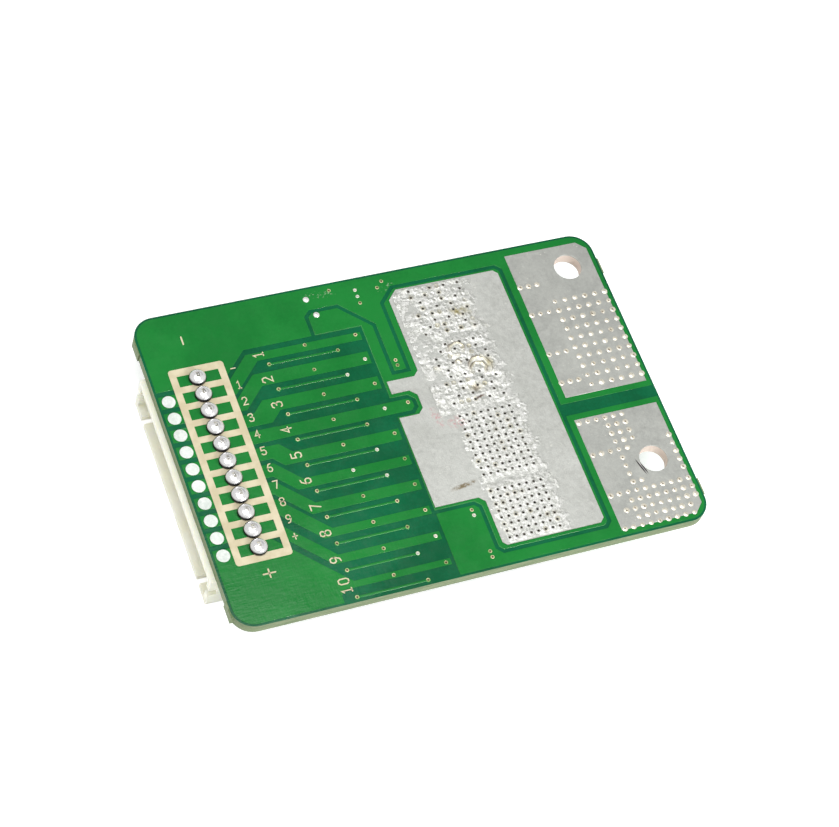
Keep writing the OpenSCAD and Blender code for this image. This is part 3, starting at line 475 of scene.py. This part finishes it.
def eased_copy(node, name, material, width, segments=2):
    """The node's own shape with its outer edges rounded by width millimetres."""
    work = bmesh.new()
    work.from_mesh(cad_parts[node].data)
    bmesh.ops.remove_doubles(work, verts=work.verts, dist=0.0005 * MM)
    bmesh.ops.dissolve_limit(work, angle_limit=math.radians(1.0), verts=work.verts, edges=work.edges)
    lowest = min(v.co.z for v in work.verts)
    thin_skin = max(v.co.z for v in work.verts) - lowest < 0.3 * MM
    edges = []
    for edge in work.edges:
        if len(edge.link_faces) != 2 or edge.calc_face_angle(0.0) < math.radians(EDGE_ANGLE):
            continue
        if thin_skin and min(v.co.z for v in edge.verts) < lowest + 0.01 * MM:
            continue
        if edge.is_convex:
            edges.append(edge)
    bmesh.ops.bevel(work, geom=edges, offset=width * MM, segments=segments, profile=0.5,
                    affect="EDGES", clamp_overlap=True)
    data = bpy.data.meshes.new(name)
    work.to_mesh(data)
    work.free()
    piece = finish_piece(name, data, material, (node,))
    data.set_sharp_from_angle(angle=math.radians(SHARP_ANGLE))
    even = piece.modifiers.new("even_normals", "WEIGHTED_NORMAL")
    even.keep_sharp = True
    return piece


def revolved(profile, sides, centre, turn=0.0, lean=(0.0, 0.0)):
    """Points and faces of a turned form: profile is (radius, height) pairs from the rim to the tip."""
    points, faces = [], []
    top = profile[-1][1]
    for radius, height in profile[:-1]:
        for k in range(sides):
            a = turn + 2 * math.pi * k / sides
            share = height / top
            points.append((centre[0] + radius * math.cos(a) + lean[0] * share,
                           centre[1] + radius * math.sin(a) + lean[1] * share, centre[2] + height))
    points.append((centre[0] + lean[0], centre[1] + lean[1], centre[2] + top))
    rings = len(profile) - 1
    for r in range(rings - 1):
        for k in range(sides):
            a, b = r * sides + k, r * sides + (k + 1) % sides
            faces.append((a, b, b + sides, a + sides))
    tip = len(points) - 1
    for k in range(sides):
        faces.append(((rings - 1) * sides + k, (rings - 1) * sides + (k + 1) % sides, tip))
    return points, faces


def joined(name, forms):
    """One mesh of several forms whose points are in board millimetres."""
    points, faces = [], []
    for form_points, form_faces in forms:
        start = len(points)
        points += [at(*p) for p in form_points]
        faces += [tuple(i + start for i in f) for f in form_faces]
    return mesh_from(name, points, faces)


def attach(data, **layers):
    """Float values for the mesh's points, which the materials read by name."""
    for name, values in layers.items():
        data.attributes.new(name, "FLOAT", "POINT").data.foreach_set("value", np.asarray(values, np.float32))


def outline_segments(node):
    """Ends of the long edges round the top face of a flat node, in board millimetres."""
    work = bmesh.new()
    work.from_mesh(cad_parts[node].data)
    bmesh.ops.remove_doubles(work, verts=work.verts, dist=0.0005 * MM)
    ends = []
    for edge in work.edges:
        up = [face.normal.z > 0.9 for face in edge.link_faces]
        if len(up) == 2 and up[0] != up[1] and edge.calc_length() > 0.3 * MM:
            ends.append([list(in_board(v.co))[:2] for v in edge.verts])
    work.free()
    return np.array(ends)


def depth_inside(x, y, segments):
    """Distance to the outline for grid points inside it, 0 outside."""
    inside = np.zeros(x.shape, bool)
    nearest = np.full(x.shape, 1e9)
    for (ax, ay), (bx, by) in segments:
        if ay != by:
            crossing = (ay > y) != (by > y)
            inside ^= crossing & (x < (bx - ax) * (y - ay) / (by - ay) + ax)
        t = np.clip(((x - ax) * (bx - ax) + (y - ay) * (by - ay)) / ((bx - ax) ** 2 + (by - ay) ** 2), 0, 1)
        nearest = np.minimum(nearest, np.hypot(x - ax - t * (bx - ax), y - ay - t * (by - ay)))
    return nearest * inside


def island_centres(node):
    """Middles of a node's separate solids, in board millimetres."""
    work = bmesh.new()
    work.from_mesh(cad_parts[node].data)
    bmesh.ops.remove_doubles(work, verts=work.verts, dist=0.0005 * MM)
    seen, centres = set(), []
    for start in work.verts:
        if start in seen:
            continue
        group, queue = [], [start]
        seen.add(start)
        while queue:
            vertex = queue.pop()
            group.append(in_board(vertex.co))
            for edge in vertex.link_edges:
                other = edge.other_vert(vertex)
                if other not in seen:
                    seen.add(other)
                    queue.append(other)
        xs, ys = [p.x for p in group], [p.y for p in group]
        centres.append(((min(xs) + max(xs)) / 2, (min(ys) + max(ys)) / 2))
    work.free()
    return centres


def lattice_noise(shape, cell, seed, stretch=1.0):
    """Smooth noise from -1 to 1 on a grid: features about cell samples wide, stretch times longer in X."""
    rng = np.random.default_rng(seed)
    rows, cols = shape
    coarse = rng.uniform(-1, 1, (int(rows / cell) + 3, int(cols / cell) + 3))
    y = np.arange(rows) / cell
    x = np.arange(cols) / cell / stretch
    yi, xi = y.astype(int), x.astype(int)
    fy, fx = (y - yi)[:, None], (x - xi)[None, :]
    fy, fx = fy * fy * (3 - 2 * fy), fx * fx * (3 - 2 * fx)
    a, b = coarse[np.ix_(yi, xi)], coarse[np.ix_(yi, xi + 1)]
    c, d = coarse[np.ix_(yi + 1, xi)], coarse[np.ix_(yi + 1, xi + 1)]
    return (a * (1 - fx) + b * fx) * (1 - fy) + (c * (1 - fx) + d * fx) * fy


def fractal(shape, cell, seed, octaves=4, gain=0.55):
    """Sum of lattice noise at halving sizes."""
    total, weight = np.zeros(shape), 1.0
    for k in range(octaves):
        total += weight * lattice_noise(shape, max(cell / 2 ** k, 1.01), seed + 17 * k)
        weight *= gain
    return total


def edge_fade(x, y, x0, y0, x1, y1, width):
    """1 well inside a rectangle, 0 at its border, over width."""
    inside = np.minimum(np.minimum(x - x0, x1 - x), np.minimum(y - y0, y1 - y))
    t = np.clip(inside / width, 0, 1)
    return t * t * (3 - 2 * t)


# ---------- copper, mask and lands on the solder side ----------

for node in ("pack_negative_copper", "pack_positive_copper", "cell_traces", "sense_tracks",
             "drain_copper", "output_copper"):
    eased_copy(node, node + "_masked", MASK_FIELD, 0.08)
eased_copy("drain_tinning", "drain_tinning_levelled", SOLDER_SKIN, 0.06)
eased_copy("battery_land", "battery_land_levelled", LAND_TIN, 0.05)
eased_copy("output_land", "output_land_levelled", LAND_TIN, 0.05)
eased_copy("edge_pads", "edge_pads_levelled", PAD_TIN, 0.05)
eased_copy("header_housing", "header_housing_moulded", NYLON, 0.12, 3)
eased_copy("mosfet_bodies", "mosfet_bodies_moulded", RESIN, 0.12, 3)


# ---------- frosted solder over the via fields ----------

MOSFETS = 4
VIA_COLUMNS = 8
VIA_ROWS = (8, 10, 10, 8)
VIA_PITCH = (1.02, 1.0)
VIA_X0 = 38.05
VIA_SHIFT = (0.0, 0.0, 0.5, 0.0)
FIELD_Y = tuple(7.2 + 10.5 * f for f in range(MOSFETS))
GRID = 0.085


def via_is_open(field, row, col):
    return field < 2 or (5 * row + 3 * col) % 7 < 3


def via_places(field):
    rows = VIA_ROWS[field]
    for row in range(rows):
        y = FIELD_Y[field] + VIA_SHIFT[field] + (row - (rows - 1) / 2) * VIA_PITCH[1]
        for col in range(VIA_COLUMNS):
            yield VIA_X0 + col * VIA_PITCH[0], y, via_is_open(field, row, col)


TINNED = outline_segments("drain_tinning")
FIELD_X0 = (37.0, 37.0, 35.6, 35.6)

# Blobs and blown bubbles of the third field: x, y, radius, height
BLOBS = [(41.6, 31.5, 1.5, 0.16), (43.4, 30.4, 1.3, 0.14), (43.9, 28.9, 1.5, 0.2), (42.4, 28.4, 1.6, 0.16),
         (40.9, 29.6, 1.0, 0.12), (41.8, 27.0, 0.9, 0.14), (45.6, 27.6, 0.9, 0.12)]
BUBBLES = [(41.3, 32.2, 0.9, 0.14), (43.4, 28.8, 1.5, 0.18), (43.1, 28.4, 1.05, 0.12), (40.7, 30.0, 0.3, 0.1)]


def frosted_field(field):
    """Relief of the solder that wicked round one MOSFET's vias, as a piece of its own."""
    rows = VIA_ROWS[field]
    filled = field > 1
    x0, x1 = FIELD_X0[field], VIA_X0 + (VIA_COLUMNS - 1) * VIA_PITCH[0] + 2.6
    middle = FIELD_Y[field] + VIA_SHIFT[field]
    half = (rows - 1) / 2 * VIA_PITCH[1] + 1.7
    y0, y1 = middle - half, middle + half
    x, y = np.meshgrid(np.arange(x0, x1, GRID), np.arange(y0, y1, GRID))
    shape = x.shape
    depth = depth_inside(x, y, TINNED)
    ragged = 0.6 * fractal(shape, 12, 31 + field, 4, 0.65)
    left = x0 - 1.5 if filled else x0
    cover = edge_fade(x + ragged, y + 0.5 * ragged, left, y0, x1 - 0.5, y1, 1.3)
    cover *= np.clip(depth / 0.3, 0, 1)
    coarse = 0.014 * fractal(shape, 11, 5 + field) + 0.008 * fractal(shape, 4, 9 + field, 2)
    waves = lattice_noise(shape, 9, 41 + field, 3.0) + 0.45 * lattice_noise(shape, 5, 43 + field, 2.4)
    rim_height = 0.022 if filled else 0.016
    relief = 0.03 + 0.7 * coarse + (0.048 if filled else 0.004) * waves
    keep = depth > 0.03
    flux = np.clip(fractal(shape, 22, 61 + field, 3) - 0.8, 0, 1) * (0.4 if filled else 0.15)
    scorch = np.zeros(shape)
    pit = np.zeros(shape)
    rng = np.random.default_rng(90 + field)
    for vx, vy, is_open in via_places(field):
        d = np.hypot(x - vx, y - vy)
        relief += rim_height * np.exp(-((d - 0.34) / 0.12) ** 2)
        if rng.random() < 0.2:
            flux = np.maximum(flux, rng.uniform(0.2, 0.6) * np.exp(-((d - 0.22) / 0.12) ** 2))
        if is_open:
            keep &= d > 0.16
            # Painted shade round the rim of the open via hole.
            pit = np.maximum(pit, 0.3 * np.exp(-((d - 0.16) / 0.05) ** 2))
        else:
            depth_of_dimple = rng.uniform(0.2, 1.0)
            relief -= 0.06 * depth_of_dimple * np.exp(-(d / 0.16) ** 2)
            # Painted shade in the middle of the dimple, darker as the dimple is deeper.
            pit = np.maximum(pit, 0.75 * depth_of_dimple ** 2 * np.exp(-(d / 0.13) ** 4))
    height = relief * cover - 0.008 * (1 - cover)
    if field == 2:
        blob = np.zeros(shape)
        for bx, by, radius, tall in BLOBS:
            d = np.hypot(x - bx, y - by) / radius
            blob = np.maximum(blob, tall * np.clip(1 - d * d, 0, 1) ** 0.8)
        blob *= 1 + 0.25 * fractal(shape, 8, 77, 3)
        wobble = 0.14 * fractal(shape, 9, 79, 3)
        for bx, by, radius, tall in BUBBLES:
            d = np.hypot(x - bx, y - by) + wobble
            arc = np.clip(0.75 + 0.9 * np.sin(np.arctan2(y - by, x - bx) + 0.2), 0, 1)
            wall = np.exp(-((d - radius) / 0.13) ** 2) * arc
            blob = blob * (1 - 0.6 * (d < radius)) + 1.3 * tall * wall
            scorch = np.maximum(scorch, 0.62 * arc * np.exp(-((d - radius - 0.15) / 0.09) ** 2))
            flux = np.maximum(flux, 0.5 * arc * np.exp(-((d - radius) / 0.2) ** 2))
        height += np.clip(blob, 0, 0.3)
        keep |= blob > 0.06
        pit *= blob < 0.06
        arc_y = 24.35 - 0.12 * (x - 41.6) ** 2 + 0.28 * (x - 41.6)
        scorch = np.maximum(scorch, 0.95 * np.exp(-(((x - 41.75) / 0.75) ** 4 + ((y - arc_y) / 0.17) ** 2)))
        scorch = np.maximum(scorch, 0.6 * np.exp(-(((x - 41.75) / 0.4) ** 2 + ((y - 25.75) / 0.45) ** 2)))
        flux = np.maximum(flux, 0.7 * np.exp(-(((x - 44.9) / 0.5) ** 2 + ((y - 29.2) / 0.9) ** 2)))
        flux = np.maximum(flux, 0.5 * np.exp(-(((x - 41.8) / 0.9) ** 2 + ((y - 25.9) / 0.6) ** 2)))
    if field == 3:
        patch = np.exp(-(((x - 43.7) / 1.1) ** 2 + ((y - 37.7) / 0.6) ** 2))
        flux = np.maximum(flux, np.clip(0.8 + fractal(shape, 7, 83, 3), 0, 1) * patch)
    keep &= height > -0.006
    index = -np.ones(shape, int)
    index[keep] = np.arange(keep.sum())
    points = [at(px, py, TIN_TOP + pz) for px, py, pz in zip(x[keep], y[keep], height[keep])]
    corners = np.stack([index[:-1, :-1], index[:-1, 1:], index[1:, 1:], index[1:, :-1]], -1).reshape(-1, 4)
    faces = corners[(corners >= 0).all(1)]
    name = f"frosted_solder_{field + 1}"
    data = mesh_from(name, points, faces.tolist())
    attach(data, frost=cover[keep], flux=flux[keep], scorch=scorch[keep], pit=pit[keep])
    return finish_piece(name, data, SOLDER_SKIN, ("drain_solder_splash",) if field == 2 else ())


def via_wells():
    """Near-black discs down in the open vias: painted shade where the holes are dark."""
    forms = []
    for field in range(MOSFETS):
        for x, y, is_open in via_places(field):
            if is_open:
                forms.append(revolved([(0.2, 0.03), (0.12, 0.012), (0.0, 0.006)], 12, (x, y, 0.0)))
    finish_piece("via_wells", joined("via_wells", forms), VIA_SHADOW)


for field in range(MOSFETS):
    frosted_field(field)
via_wells()


# ---------- solder points on the lands ----------

LAND_X1 = 65.2
LAND_X0 = 53.2
BATTERY_Y0 = 21.5
OUTPUT_Y0 = 1.0
OUTPUT_ROWS = [(0, 0, 8), (1, 2, 8), (2, 1, 9), (3, 2, 9), (4, 0, 9), (5, 3, 4), (6, 3, 3), (7, 3, 3),
               (8, 3, 3), (9, 0, 4), (10, 3, 5), (11, 3, 5), (12, 3, 5), (13, 0, 5),
               (5.4, 9, 9), (6.4, 9, 9), (7.4, 9, 9), (8.4, 9, 9), (9.4, 9, 9)]
GRID_PITCH = 1.27
POINT_PROFILE = [(0.40, -0.004), (0.34, 0.02), (0.28, 0.06), (0.22, 0.09), (0.15, 0.11), (0.08, 0.12),
                 (0.0, 0.125)]
PITTED_PROFILE = [(0.40, -0.004), (0.34, 0.02), (0.28, 0.06), (0.22, 0.08), (0.16, 0.08), (0.09, 0.06),
                  (0.0, 0.05)]
POINT_SIDES = 18


def solder_points(name, places, replaced, seed):
    """Small drops over a land's vias, about half of them pitted in the middle."""
    rng = np.random.default_rng(seed)
    forms, pits = [], []
    for x, y in places:
        size = rng.uniform(0.8, 1.08)
        pitted = rng.random() < 0.5
        profile = PITTED_PROFILE if pitted else POINT_PROFILE
        form = revolved([(r * size, h * size) for r, h in profile], POINT_SIDES, (x, y, TIN_TOP),
                        rng.uniform(0, 6.3), tuple(rng.normal(0, 0.03, 2)))
        forms.append(form)
        inner = POINT_SIDES + 1
        # Painted shade in the pitted middles.
        pits += [0.0] * (len(form[0]) - inner) + [0.8 * pitted] * inner
    data = joined(name, forms)
    attach(data, pit=pits)
    finish_piece(name, data, POINT, replaced)


battery_places = [(LAND_X1 - 0.2 - i * 1.5, BATTERY_Y0 + 1.2 + j * 1.5) for i in range(6) for j in range(10)]
battery_places += [(LAND_X0 + 0.3 + i * GRID_PITCH, BATTERY_Y0 + y)
                   for y in (2.3, 6.9, 13.3, 17.85) for i in range(3)]
output_places = [(LAND_X1 - 0.3 - (9 - col) * GRID_PITCH, OUTPUT_Y0 + 0.1 + row * 1.255)
                 for row, first, last in OUTPUT_ROWS for col in range(first, last + 1)]
solder_points("battery_solder_points", battery_places, ("battery_via_bumps",), 4)
solder_points("output_solder_points", output_places, ("output_via_bumps",), 6)


# ---------- small vias under the mask ----------

RIM = [(0.27, -0.004), (0.25, 0.02), (0.20, 0.03), (0.15, 0.02), (0.12, 0.006), (0.0, 0.004)]
DROP = [(0.44, -0.004), (0.41, 0.06), (0.33, 0.12), (0.21, 0.16), (0.10, 0.175), (0.0, 0.18)]
DROP_PLACES = ((24.1, 43.8), (24.8, 41.2))
VIA_SIDES = 16


def small_vias():
    """A rim at every small via with painted shade in its hole, and a drop of solder on two of them."""
    rng = np.random.default_rng(21)
    forms, pits, brights = [], [], []
    for x, y in island_centres("via_rings"):
        is_drop = any(math.hypot(x - dx, y - dy) < 1 for dx, dy in DROP_PLACES)
        profile = DROP if is_drop else RIM
        form = revolved(profile, VIA_SIDES, (x, y, FIELD_TOP))
        forms.append(form)
        count, inner = len(form[0]), VIA_SIDES + 1
        pits += [0.0] * (count - inner) + [0.0 if is_drop else 1.0] * inner
        brights += [1.0 if is_drop else 0.5 * (rng.random() < 0.2)] * count
    data = joined("small_vias", forms)
    attach(data, pit=pits, bright=brights)
    finish_piece("small_vias", data, VIA, ("via_rings",))


small_vias()


# ---------- joints at the pins ----------

PIN_X = 6.15
PIN_Y0 = 35.7
JOINT_PROFILE = [(1.10, 0.03), (1.16, 0.14), (1.19, 0.30), (1.17, 0.46), (1.10, 0.62), (0.98, 0.77),
                 (0.82, 0.90), (0.62, 1.00), (0.44, 1.06), (0.34, 1.09), (0.29, 1.14), (0.22, 1.18),
                 (0.11, 1.20), (0.0, 1.205)]


def pin_joints():
    """Full round joints of slightly different swell, with the pin's tip in the middle."""
    rng = np.random.default_rng(12)
    forms = []
    for k in range(PINS):
        swell = rng.uniform(-0.03, 0.03)
        profile = [(r + swell * math.sin(math.pi * h), h) for r, h in JOINT_PROFILE]
        forms.append(revolved(profile, 40, (PIN_X, PIN_Y0 - k * PIN_PITCH, 0.0), 0.0,
                              tuple(rng.normal(0, 0.04, 2))))
    finish_piece("pin_joints", joined("pin_joints", forms), JOINT, ("solder_joints",))


pin_joints()


# ---------- printed marks ----------

STROKES = {
    "1": [[(0.25, 0.8), (0.5, 1.0), (0.5, 0.0)], [(0.25, 0.0), (0.75, 0.0)]],
    "2": [[(0.1, 0.8), (0.25, 1.0), (0.7, 1.0), (0.85, 0.8), (0.85, 0.62), (0.1, 0.0), (0.88, 0.0)]],
    "3": [[(0.1, 0.85), (0.25, 1.0), (0.7, 1.0), (0.85, 0.82), (0.7, 0.54), (0.4, 0.54)],
          [(0.7, 0.54), (0.88, 0.35), (0.85, 0.15), (0.7, 0.0), (0.25, 0.0), (0.1, 0.15)]],
    "4": [[(0.65, 0.0), (0.65, 1.0), (0.1, 0.32), (0.9, 0.32)]],
    "5": [[(0.82, 1.0), (0.18, 1.0), (0.14, 0.56), (0.65, 0.6), (0.86, 0.42), (0.86, 0.18), (0.68, 0.0),
           (0.28, 0.0), (0.1, 0.14)]],
    "6": [[(0.75, 1.0), (0.4, 0.94), (0.14, 0.55), (0.14, 0.18), (0.3, 0.0), (0.68, 0.0), (0.86, 0.18),
           (0.86, 0.38), (0.68, 0.54), (0.3, 0.54), (0.14, 0.38)]],
    "7": [[(0.1, 1.0), (0.88, 1.0), (0.4, 0.0)]],
    "8": [[(0.32, 0.54), (0.14, 0.72), (0.14, 0.85), (0.3, 1.0), (0.7, 1.0), (0.86, 0.85), (0.86, 0.72),
           (0.68, 0.54), (0.32, 0.54), (0.12, 0.35), (0.12, 0.16), (0.3, 0.0), (0.7, 0.0), (0.88, 0.16),
           (0.88, 0.35), (0.68, 0.54)]],
    "9": [[(0.25, 0.0), (0.6, 0.06), (0.86, 0.45), (0.86, 0.82), (0.7, 1.0), (0.32, 1.0), (0.14, 0.82),
           (0.14, 0.62), (0.32, 0.46), (0.7, 0.46), (0.86, 0.62)]],
    "0": [[(0.3, 0.0), (0.12, 0.2), (0.12, 0.8), (0.3, 1.0), (0.7, 1.0), (0.88, 0.8), (0.88, 0.2), (0.7, 0.0),
           (0.3, 0.0)]],
    "+": [[(0.5, 0.12), (0.5, 0.88)], [(0.12, 0.5), (0.88, 0.5)]],
    "-": [[(0.12, 0.5), (0.88, 0.5)]],
}


def stroke_form(line, width, z, thick):
    """A flat printed stroke with mitred bends and round ends, as points and faces."""
    points = [Vector((*p, 0)) for p in line]
    half = width / 2
    left, right = [], []
    for i, p in enumerate(points):
        before = (p - points[i - 1]).normalized() if i else (points[1] - p).normalized()
        after = (points[i + 1] - p).normalized() if i < len(points) - 1 else before
        side = Vector((-(before + after).y, (before + after).x, 0)).normalized()
        reach = half / max(0.5, side.dot(Vector((-before.y, before.x, 0))))
        left.append(p + side * reach)
        right.append(p - side * reach)
    start_dir = (points[0] - points[1]).normalized()
    end_dir = (points[-1] - points[-2]).normalized()
    cap = lambda centre, direction: [
        centre + half * (direction * math.sin(a) + Vector((-direction.y, direction.x, 0)) * math.cos(a))
        for a in (math.pi / 4, math.pi / 2, 3 * math.pi / 4)]
    outline = left + cap(points[-1], end_dir) + right[::-1] + cap(points[0], start_dir)
    n, m = len(points), len(left)
    top = [(p.x, p.y, z + thick) for p in outline]
    low = [(p.x, p.y, z) for p in outline]
    count = len(outline)
    faces = [(right_index(i + 1, m), i + 1, i, right_index(i, m)) for i in range(n - 1)]
    faces.append((m - 1, m, m + 1, m + 2, m + 3)[::-1])
    faces.append((2 * m + 2, 2 * m + 3, 2 * m + 4, 2 * m + 5, 0)[::-1])
    faces += [(i, (i + 1) % count, (i + 1) % count + count, i + count) for i in range(count)]
    return top + low, faces


def right_index(i, m):
    """Place of the right-hand point i in a stroke's outline."""
    return 2 * m + 2 - i


INK_THICK = 0.025
LETTER_STEP = 0.95      # from one letter to the next, in letter heights
LETTER_WIDTH = 0.72
CHANNEL_TOP = 46 - 8.62
CHANNEL_PITCH = 3.8856
CHANNELS = 10


def mark(text, x, y, height, width, turned):
    """Strokes of a short text whose first letter's lower left corner is at (x, y)."""
    forms = []
    for k, letter in enumerate(text):
        for line in STROKES[letter]:
            placed = []
            for u, v in line:
                across, up = (u * LETTER_WIDTH + k * LETTER_STEP) * height, v * height
                placed.append((x - up, y + across) if turned else (x + across, y + up))
            forms.append(stroke_form(placed, width, FIELD_TOP, INK_THICK))
    return forms


marks = mark("-", 7.0, 40.9, 2.1, 0.2, True) + mark("+", 7.4, 5.8, 2.1, 0.2, True)
for k, label in enumerate(["-"] + [str(i) for i in range(1, 10)] + ["+"]):
    marks += mark(label, 10.75, PIN_Y0 - k * PIN_PITCH - 0.15, 1.1, 0.15, False)
for k in range(CHANNELS):
    label = str(k + 1)
    y = CHANNEL_TOP - CHANNEL_PITCH * k
    marks += mark(label, 15.7, y - 0.55 - (0.5 if len(label) > 1 else 0), 1.35, 0.17, True)
finish_piece("printed_marks", joined("printed_marks", marks), INK, smooth=False)


# ---------- camera, light and floor ----------

def make_camera():
    """The photograph's viewpoint: 57 degrees up, from the near left, rolled by 21 degrees."""
    right = Vector((0.920605, -0.339018, 0.193789))
    up = Vector((0.200631, 0.836393, 0.510092))
    back = Vector((-0.335014, -0.430713, 0.838005))
    camera = bpy.data.objects.new("camera", bpy.data.cameras.new("camera"))
    bpy.context.scene.collection.objects.link(camera)
    camera.matrix_world = Matrix((right, up, back)).transposed().to_4x4()
    camera.location = Vector((-109.802, -140.549, 282.886)) * MM
    camera.data.sensor_width = 36.0
    camera.data.lens = 107.883
    camera.data.clip_start, camera.data.clip_end = 0.01, 10.0
    bpy.context.scene.camera = camera


def area_light(name, place, target, size, power):
    """A rectangular soft light aimed at target, sizes in metres and power in watts."""
    light = bpy.data.objects.new(name, bpy.data.lights.new(name, "AREA"))
    bpy.context.scene.collection.objects.link(light)
    light.location = place
    light.rotation_euler = (Vector(target) - Vector(place)).to_track_quat("-Z", "Y").to_euler()
    light.data.shape = "RECTANGLE"
    light.data.size, light.data.size_y = size
    light.data.energy = power


def make_world():
    """A soft pale room that is dimmer high up behind the board."""
    world = bpy.data.worlds.new("soft_room")
    bpy.context.scene.world = world
    world.use_nodes = True
    tree = world.node_tree
    background = tree.nodes["Background"]
    direction = tree.nodes.new("ShaderNodeTexCoord").outputs["Generated"]
    dot = tree.nodes.new("ShaderNodeVectorMath")
    dot.operation = "DOT_PRODUCT"
    tree.links.new(direction, dot.inputs[0])
    dot.inputs[1].default_value = Vector((0.42, 0.56, 0.71)).normalized()
    ramp = tree.nodes.new("ShaderNodeMapRange")
    ramp.interpolation_type = "SMOOTHSTEP"
    tree.links.new(dot.outputs["Value"], ramp.inputs["Value"])
    ramp.inputs["From Min"].default_value = 0.82
    ramp.inputs["From Max"].default_value = 0.98
    ramp.inputs["To Min"].default_value = 0.62
    ramp.inputs["To Max"].default_value = 0.12
    tree.links.new(ramp.outputs["Result"], background.inputs["Strength"])
    background.inputs["Color"].default_value = (1.0, 1.0, 1.0, 1.0)


def make_floor():
    """The floor that the board's component side rests on."""
    size = 1.5
    corners = [(-size, -size, 0), (size, -size, 0), (size, size, 0), (-size, size, 0)]
    data = mesh_from("floor", corners, [(0, 1, 2, 3)])
    data.materials.append(floor_material())
    floor = bpy.data.objects.new("floor", data)
    bpy.context.scene.collection.objects.link(floor)


make_camera()
make_world()
make_floor()
area_light("panel", (-0.0725, -0.045, 0.45), (-0.0725, -0.045, 0), (0.375, 0.43), 1.35)
area_light("near_strip", (0.14, -0.296, 0.23), (0, 0, 0), (0.14, 0.05), 0.75)
bpy.context.scene.view_settings.view_transform = "Standard"
